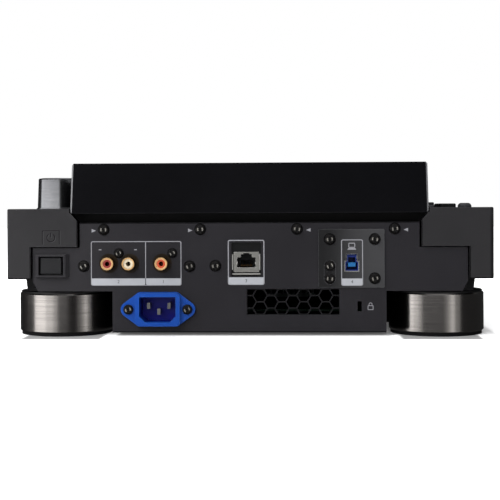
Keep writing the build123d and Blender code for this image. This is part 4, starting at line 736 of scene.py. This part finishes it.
def power_emblem():
    """Raised sign on the shoulder over the power button: an open square round a broken ring and a stroke. The
    strokes are painted near black, a painted shade, and a thin lighter stroke set off from each is a painted highlight.
    """
    sign, edge = Patch(), Patch()
    u, v = -134.4, 67.4
    runs = [
        np.array([(u - 5.8, v - 4.6), (u - 5.8, v + 4.6), (u + 5.8, v + 4.6), (u + 5.8, v - 4.6)]),
        arc((u, v), 2.7, 125, 415, 40),
        np.array([(u, v + 0.4), (u, v + 3.4)]),
    ]
    for run in runs:
        # Raised strokes painted near black as painted shade.
        sign.take(*extrude(*ribbon(run, 0.55), SHOULDER, -0.05, 0.12))
        # A painted highlight: a thin lighter stroke set off down and to the side.
        edge.ink(ribbon(run + (0.45, -0.35), 0.3), SHOULDER, 0.06)
    piece("power_emblem", sign, EMBOSS_SHADE, "chassis")
    piece("power_emblem_highlight", edge, EMBOSS_HIGHLIGHT, "chassis")


def screw_details():
    """Each panel screw sits in a ring of painted shadow, and two painted highlights stand for glints on its head
    beside the cross: arcs of 1.6 mm radius to the left and the right, turned a little from screw to screw."""
    spots = corners_of(frame["nodes"]["panel_screws"].data) / MM
    places = {
        (PANEL_Y, 1.0): [(98.6, 72.7, 0), (32.8, 72.7, 4), (-32.8, 72.7, -8), (-98.6, 72.7, 10), (112.4, 47.8, 24),
                         (40.1, 47.6, 16), (22.6, 47.9, 6)],
        (PANEL_Y, 0.85): [(88.4, 56.6, 20), (51.8, 56.6, 28)],
        (PLATE_Y, 1.0): [(-54.8, 65.7, 8), (-85.0, 65.7, -10), (-85.0, 39.3, 12)],
        (None, 1.0): [(-54.8, 47.8, 22), (-54.8, 39.1, -4), (41.6, 18.6, 26), (81.6, 18.6, 18)],
    }
    rings, glints = Patch(), Patch()
    for seat, scale, x, z, turn in [(*key, *spot) for key, row in places.items() for spot in row]:
        near = spots[np.hypot(spots[:, 0] - x, spots[:, 2] - z) < 3.5 * scale]
        face = facing_back(0.0, x, z)
        for way in (turn, turn + 180):
            # Two painted highlights on the head.
            glint = ribbon(arc((0.0, 0.0), 1.62 * scale, way - 36, way + 36, 12), 0.8 * scale)
            glints.ink(glint, face, near[:, 1].max() + 0.03)
        if seat:
            # A painted shadow ring round the head.
            rings.ink(ring((0.0, 0.0), 3.3 * scale, 3.95 * scale), face, seat + 0.04)
    piece("screw_painted_glints", glints, SCREW_GLINT, "chassis")
    piece("screw_rings", rings, SHADOW_BLACK, "chassis")


def jack_recesses():
    """Painted shade: dark brown rings painted on the panel round the three phono jacks, standing for their shaded
    recesses.
    """
    rings = Patch()
    for x in JACK_X:
        # A painted shade ring round each jack.
        rings.ink(ring((-x, JACK_Z), 4.3, 6.6), REAR, 0.04)
    piece("jack_recesses", rings, RECESS_SHADE, "chassis")


def selector_seat():
    """A thin collar on the deck round the foot of the selector and a short skirt on the selector, which moves
    down inside the collar."""
    x, y, _ = middle("selector_knob")
    low = [(16.25, 86.9), (16.75, 86.9), (16.75, 87.55), (16.65, 87.66), (16.35, 87.66), (16.25, 87.6)]
    seat = Patch().take(*lathe(low, x, y))
    piece("selector_seat", seat, SLOT_MATERIALS["knob_metal"], "chassis")
    base = [(14.3, 87.54), (15.3, 87.54), (15.4, 87.6), (15.4, 87.8), (14.2, 87.8), (14.2, 87.6)]
    piece("selector_skirt", Patch().take(*lathe(base, x, y)), SOFT_GRIP, "selector_turn")


# ---- inside the sockets
def network_socket():
    """A small black bar over the network socket, eight bent spring contacts inside it, and the gasket's bright
    fingers beside and below the shield."""
    x, face = LAN_X, facing_back(LAN_Y)
    insert = Patch().take(*extrude(*filled(bar(-x - 2.0, 55.7, -x + 2.0, 56.5)), face, -0.05, 0.07))
    piece("network_insert", insert, PORT_BLACK, "chassis")

    wires = Patch()
    route = np.vstack([[(205.6, 47.0), (214.6, 47.0)], arc((214.6, 47.9), 0.9, -90, 60, 9), [(209.0, 51.2)]])
    for k in range(8):
        side_on = plane((x + (k - 3.5) * 1.02 - 0.21, 0.0, 0.0), (0, 1, 0), (0, 0, 1))
        wires.take(*extrude(*ribbon(route, 0.28), side_on, 0.0, 0.42, cap_low=True))
    piece("network_contacts", wires, GOLD_WIRE, "chassis", smooth=True)

    fingers = Patch()
    for u0, u1, v0, v1 in ((-11.5, -10.4, 44.9, 55.8), (6.95, 7.95, 44.8, 55.9), (-11.3, 7.95, 41.7, 42.8)):
        spot = ((u0 + u1) / 2, (v0 + v1) / 2)
        fingers.take(*soft_block(u1 - u0, v1 - v0, 0.45, 0.02, 1.35, 0.45, facing_back(216.5), at=spot))
    for side in (-1, 1):
        fingers.take(*soft_block(0.9, 1.9, 0.4, -0.6, 0.1, 0.3, face, at=(-x + side * 6.35, 49.6)))
    piece("network_gasket", fingers, GASKET, "chassis", smooth=True)


def usb_contacts():
    """Four flat contacts on the tongue of the square socket, two above and two below."""
    wires = Patch()
    for z, side in ((USB_TONGUE_Z + 1.36, 1), (USB_TONGUE_Z - 1.36, -1)):
        face = plane((0.0, 0.0, z), (1, 0, 0), (0, side, 0))
        for k in (-1.25, 1.25):
            wires.take(*soft_block(0.9, 9.0, 0.2, -0.02, 0.09, 0.06, face, at=(USB_X + k, side * 212.6)))
    piece("usb_contacts", wires, GOLD_WIRE, "chassis")


# ---- deck
def spoke(x, y, angle, inner, outer):
    """A short line that points away from x, y, between two radii."""
    way = np.array([math.cos(angle), math.sin(angle)])
    return [(x, y) + inner * way, (x, y) + outer * way]


def key_marks():
    """Plain numbers and thin frames on the eight pads, and the signs on the play and cue keys."""
    for k in range(1, 9):
        x, y, top = middle(f"hot_cue_{k}")
        number = Patch().ink(glyphs(str(k), 4.6, (x, y)), facing_up(top))
        piece(f"pad_number_{k}", number, DECK_INK, f"hot_cue_{k}")
        line = ribbon(rounded(x - 10.4, y - 4.9, x + 10.4, y + 4.9, 1.4), 0.5, closed=True)
        rim = Patch().ink(line, facing_up(top), PRINT_LIFT * 0.7)
        piece(f"pad_line_{k}", rim, LIGHT_GUIDE, f"hot_cue_{k}")

    x, y, top = middle("play_button")
    play = Patch().ink(filled([(x - 5.6, y - 3.3), (x + 0.2, y), (x - 5.6, y + 3.3)]), facing_up(top))
    for u in (2.6, 5.2):
        play.ink(filled(bar(x + u - 0.7, y - 3.1, x + u + 0.7, y + 3.1)), facing_up(top))
    piece("play_sign", play, DECK_INK, "play_button")
    x, y, top = middle("cue_button")
    cue = Patch().ink(ring((x, y), 2.9, 3.7), facing_up(top)).ink(filled(dot(x, y, 1.1)), facing_up(top))
    piece("cue_sign", cue, DECK_INK, "cue_button")


def key_rings():
    """Turned metal rings let into the play and cue keys."""
    for name in ("play", "cue"):
        x, y, top = middle(f"{name}_button")
        patch = Patch().take(*lathe(bead(15.6, 0.75, top, 0.05, 0.34, 0.25), x, y))
        piece(f"{name}_ring", patch, BRIGHT_RING, f"{name}_button", smooth=True)


def deck_signs():
    """Plain signs printed on the deck: skip marks, loop brackets, dots, a stop square, direction arrows, the
    tempo scale with its numbers, ticks round the small knobs and a line by each pad."""
    ink = Patch()
    solid = lambda outline: ink.ink(filled(outline), DECK)
    stroke = lambda path, width=0.35, closed=False: ink.ink(ribbon(path, width, closed), DECK)
    for name, way in (("track_back_button", -1), ("track_forward_button", 1)):
        x, y, _ = middle(name)
        arrow = np.array([(-1.1, -1.2), (1.1, 0.0), (-1.1, 1.2)])
        for shape in (arrow + (-0.8, 0), arrow + (1.4, 0), bar(2.5, -1.2, 3.0, 1.2)):
            solid((shape if way > 0 else shape[::-1] * (-1, 1)) + (x, y + 8.2))
    for name, way in (("loop_in_button", 1), ("loop_out_button", -1)):
        x, y, _ = middle(name)
        bracket = np.array([(way * 0.8, 1.3), (way * -0.9, 1.3), (way * -0.9, -1.3), (way * 0.8, -1.3)])
        stroke(bracket + (x, y + 12.2), 0.4)
    x, y, _ = middle("sync_button")
    for side in (-0.9, 0.9):
        stroke(dot(x + side, y + 12.2, 1.1), 0.35, True)
    x, y, _ = middle("master_button")
    solid(dot(x, y + 12.2, 1.0))
    x, y, _ = middle("stop_button")
    solid(bar(-1.2, -1.2, 1.2, 1.2) + (x, y - 9.0))
    x, y, _ = middle("direction_lever")
    for way in (-1, 1):
        tip = np.array([(-1.3, -0.9), (1.3, -0.9), (0.0, 1.2)])
        solid((tip if way > 0 else tip[::-1] * (1, -1)) + (x + 9.6, y + way * 5.0))
    stroke([(x + 9.6, y - 2.6), (x + 9.6, y + 2.6)], 0.3)
    x, y, _ = middle("fader_frame")
    for k in range(-10, 11):
        long = 4.2 if k == 0 else (3.0 if k % 5 == 0 else 1.8)
        for side in (-1, 1):
            tick = [(x + side * 15.0, y + k * 5.0), (x + side * (15.0 + long), y + k * 5.0)]
            stroke(tick, 0.5 if k == 0 else 0.28)
    for k, text, out in ((-10, "+", 21.5), (0, "0", 22.5), (10, "-", 21.5)):
        ink.ink(glyphs(text, 4.2, (x - out, y + k * 5.0)), DECK)
    for name in ("vinyl_speed_knob", "jog_adjust_knob"):
        x, y, _ = middle(name)
        for k in range(11):
            stroke(spoke(x, y, math.radians(225 - 27 * k), 8.8, 10.6 if k in (0, 5, 10) else 9.9), 0.3)
    for k in range(1, 9):
        x, y, _ = middle(f"hot_cue_{k}")
        stroke([(x - 10.0, y - 9.6), (x + 10.0, y - 9.6)], 0.3)
    piece("deck_signs", ink, DECK_INK, "chassis")


def knob_tops():
    """A pointer bar on each small knob, a bright ring on the selector, and grip ribs either side of a white
    line on the fader cap."""
    for name in ("vinyl_speed_knob", "jog_adjust_knob"):
        x, y, top = middle(name)
        patch = Patch().take(*soft_block(0.9, 5.2, 0.4, -0.05, 0.12, 0.1, facing_up(top, x, y), at=(0.0, 3.0)))
        piece(f"{name}_pointer", patch, DECK_INK, name)
    x, y, top = middle("selector_knob")
    rim = Patch().take(*lathe(bead(12.6, 0.5, top, 0.02, 0.22, 0.15), x, y))
    piece("selector_ring", rim, BRIGHT_RING, "selector_turn", smooth=True)
    x, y, top = middle("fader_cap")
    ribs, face = Patch(), facing_up(top, x, y)
    for v in (-5.2, -3.9, -2.6, 2.6, 3.9, 5.2):
        ribs.take(*soft_block(20.0, 0.6, 0.3, -0.1, 0.18, 0.15, face, at=(0.0, v)))
    piece("fader_ribs", ribs, SOFT_GRIP, "tempo_fader", smooth=True)
    line = Patch().take(*soft_block(20.5, 0.9, 0.2, -0.1, 0.07, 0.04, face))
    piece("fader_line", line, DECK_INK, "tempo_fader")


def jog_details():
    """Rings and marks of the jog wheel: a bright turned ring round the middle display, a fine ring, 60 ticks
    and a position line printed on the display, and two thin groove rings on the platter."""
    x, y = JOG_X, JOG_Y
    plate_top, glass_top = middle("jog_platter")[2], middle("jog_display")[2]
    bead_ring = Patch().take(*lathe(bead(43.9, 0.45, plate_top, 0.02, 0.2, 0.2), x, y, 128))
    piece("jog_bead", bead_ring, BRIGHT_RING, "jog_wheel", smooth=True)
    shapes = [ring((x, y), 37.2, 37.6, 96)]
    for k in range(60):
        shapes.append(ribbon(spoke(x, y, 2 * math.pi * k / 60, 35.6 if k % 5 else 34.2, 36.8), 0.3))
    shapes.append(ribbon([(x, y + 24.0), (x, y + 33.0)], 0.9))
    marks, grooves = Patch(), Patch()
    for shape in shapes:
        marks.ink(shape, facing_up(glass_top))
    piece("jog_marks", marks, INK, "chassis")
    for r in (52.0, 84.6):
        grooves.ink(ring((x, y), r - 0.2, r + 0.2, 128), facing_up(plate_top), PRINT_LIFT * 0.6)
    piece("jog_grooves", grooves, GLOSS_BLACK, "jog_wheel")


for make in (mark_frames, mark_signs, power_emblem, screw_details, jack_recesses, selector_seat, network_socket,
             usb_contacts, key_marks, key_rings, deck_signs, knob_tops, jog_details):
    make()


# ---- stage, light and camera
def floor():
    """A pale floor, wide enough to run out of the picture. It glows softly for the camera, and below the player only
    faintly, a painted light that lifts the real shadow there; a narrow zone at the two rear feet is a painted contact
    shadow, darker and without glow."""
    mesh = bpy.data.meshes.new("studio_floor")
    mesh.from_pydata([(-4.0, -4.0, 0.0), (4.0, -4.0, 0.0), (4.0, 4.0, 0.0), (-4.0, 4.0, 0.0)], [], [(0, 1, 2, 3)])
    thing = placed("studio_floor", mesh)
    mat = bpy.data.materials.new("studio_white")
    mat.use_nodes = True
    tree = mat.node_tree
    where = add(tree, "TexCoord").outputs["Object"]
    shade = blend(tree, noise(tree, where, 3.0, 3.0), (0.93, 0.93, 0.93, 1.0), (0.96, 0.96, 0.96, 1.0))
    shader = tree.nodes["Principled BSDF"]
    shader.inputs["Roughness"].default_value = 0.9
    shader.inputs["Specular IOR Level"].default_value = 0.1
    path = add(tree, "LightPath")
    x, y, _ = parts_of(tree, where)
    side = maths(tree, "ABSOLUTE", x)
    below = times(tree, fall(tree, side, 0.166, 0.172), between(tree, y, -0.235, 0.2088, 0.0008))
    # Painted contact shadow in front of the two rear feet: the floor is darker there and does not glow.
    toe = times(tree, between(tree, maths(tree, "ABSOLUTE", plus(tree, x, 0.0015)), 0.1005, 0.1540, 0.0020),
                between(tree, y, 0.190, 0.2345, 0.0024))
    painted_toe_shadow = add(tree, "VectorMath", operation="SCALE", in_0=shade,
              in_Scale=minus(tree, 1.0, times(tree, toe, 0.62)))
    tree.links.new(painted_toe_shadow.outputs[0], shader.inputs["Base Color"])
    reach = add(tree, "VectorMath", operation="LENGTH", in_0=where)
    open_floor = minus(tree, 1.0, maths(tree, "MAXIMUM", below, toe))
    lift = times(tree, open_floor, ramp(tree, reach.outputs["Value"], 0.26, 0.48, 0.5, 1.0))
    # A faint painted light below the player lifts the real shadow there.
    lift = maths(tree, "MAXIMUM", lift, times(tree, below, 0.09))
    glow = add(tree, "Emission", in_Color=(1.0, 1.0, 1.0, 1.0),
               in_Strength=times(tree, lift, path.outputs["Is Camera Ray"]))
    both = add(tree, "AddShader", in_0=shader.outputs[0], in_1=glow.outputs[0])
    tree.links.new(both.outputs[0], tree.nodes["Material Output"].inputs["Surface"])
    mesh.materials.append(mat)
    thing.visible_glossy = False


def light(name, place, aim, size, power, mirrored=True):
    """A rectangular soft light at place, turned to face aim. Reflections leave it out unless mirrored."""
    data = bpy.data.lights.new(name, "AREA")
    data.shape = "RECTANGLE"
    data.size, data.size_y = size
    data.energy = power
    thing = placed(name, data)
    thing.location = place
    thing.rotation_euler = (Vector(aim) - Vector(place)).to_track_quat("-Z", "Y").to_euler()
    thing.visible_camera = False
    thing.visible_glossy = mirrored


def low_card(name, start, end, level):
    """A low glowing card that stands on the floor plan from start to end and faces the player: only the feet
    mirror it. Its radiance is level, so its power is level * pi * area."""
    (x0, y0), (x1, y1) = start, end
    width, height = math.hypot(x1 - x0, y1 - y0), 0.18
    middle_x, middle_y = (x0 + x1) / 2, (y0 + y1) / 2
    facing = np.array([y1 - y0, x0 - x1])
    if facing @ np.array([-middle_x, 0.19 - middle_y]) < 0:
        facing = -facing
    place = (middle_x, middle_y, -0.01)
    aim = (middle_x + facing[0], middle_y + facing[1], -0.01)
    light(name, place, aim, (width, height), level * math.pi * width * height)


def world(level, low, high):
    """Even light from everywhere: level on matt surfaces, and plain white for what the camera sees past the
    floor. Reflections see low below the horizon, high just over it towards +X and +Y, and a soft glow overhead."""
    scene_world = bpy.data.worlds.new("studio")
    bpy.context.scene.world = scene_world
    scene_world.use_nodes = True
    tree = scene_world.node_tree
    tree.nodes.clear()
    path = add(tree, "LightPath")
    way = parts_of(tree, add(tree, "TexCoord").outputs["Generated"])
    band = times(tree, ramp(tree, way[2], -0.01, 0.01), fall(tree, way[2], 0.07, 0.13))
    band = times(tree, band, ramp(tree, way[0], -0.30, -0.10))
    band = times(tree, band, ramp(tree, way[1], -0.30, -0.12))
    seen = plus(tree, low, times(tree, band, high - low))
    seen = plus(tree, seen, ramp(tree, way[2], 0.45, 0.95, 0.0, 0.40))
    strength = plus(tree, level, times(tree, path.outputs["Is Glossy Ray"], minus(tree, seen, level)))
    soft = add(tree, "Background", in_Color=(0.97, 0.98, 1.0, 1.0), in_Strength=strength)
    white = add(tree, "Background", in_Color=(1.0, 1.0, 1.0, 1.0), in_Strength=1.0)
    mix = add(tree, "MixShader", in_0=path.outputs["Is Camera Ray"], in_1=soft.outputs[0], in_2=white.outputs[0])
    add(tree, "OutputWorld", in_Surface=mix.outputs[0])


def camera():
    """Stands behind the player, a little to its left side, level at deck height; the lens is shifted down."""
    data = bpy.data.cameras.new("camera")
    data.lens, data.sensor_width = 80.0, 36.0
    data.shift_x, data.shift_y = 0.0004, -0.0840
    data.clip_start, data.clip_end = 0.05, 20.0
    thing = placed("camera", data)
    target = Vector((-0.0010, 0.2208, 0.0870))
    distance, yaw, roll = 0.750, math.radians(2.2), math.radians(-0.26)
    place = target + distance * Vector((-math.sin(yaw), math.cos(yaw), 0.0))
    thing.location = place
    thing.rotation_mode = "QUATERNION"
    thing.rotation_quaternion = (target - place).to_track_quat("-Z", "Y") @ Quaternion((0.0, 0.0, 1.0), roll)
    bpy.context.scene.camera = thing


floor()
world(0.32, 0.03, 1.32)
light("key_overhead", (0.90, 1.15, 1.15), (0.0, 0.15, 0.05), (1.2, 1.0), 26.0, mirrored=False)
light("top_soft", (0.0, -0.10, 1.50), (0.0, 0.0, 0.05), (1.2, 1.2), 14.0, mirrored=False)
light("fill_rear", (0.25, 1.60, 0.60), (0.0, 0.20, 0.05), (1.2, 1.0), 12.0, mirrored=False)
# Rows of low cards: from where to where on the floor plan, and the stretches of each row with their levels.
CARD_ROWS = {
    "left": ((0.525, 0.314), (0.225, 0.620), [(0.0, 0.5, 1.90), (0.5, 0.8, 1.20), (0.8, 1.0, 0.62)]),
    "right": ((-0.371, 0.390), (-0.254, 0.713),
              [(0.0, 0.25, 0.36), (0.25, 0.5, 1.15), (0.5, 0.75, 0.58), (0.75, 1.1, 0.24)]),
}
for side, (start, end, cards) in CARD_ROWS.items():
    start, run = np.array(start), np.array(end) - np.array(start)
    for k, (near, far, level) in enumerate(cards):
        low_card(f"card_{side}_{k + 1}", start + near * run, start + far * run, level)
camera()
scene = bpy.context.scene
scene.view_settings.view_transform = "Standard"
scene.view_settings.look = "None"
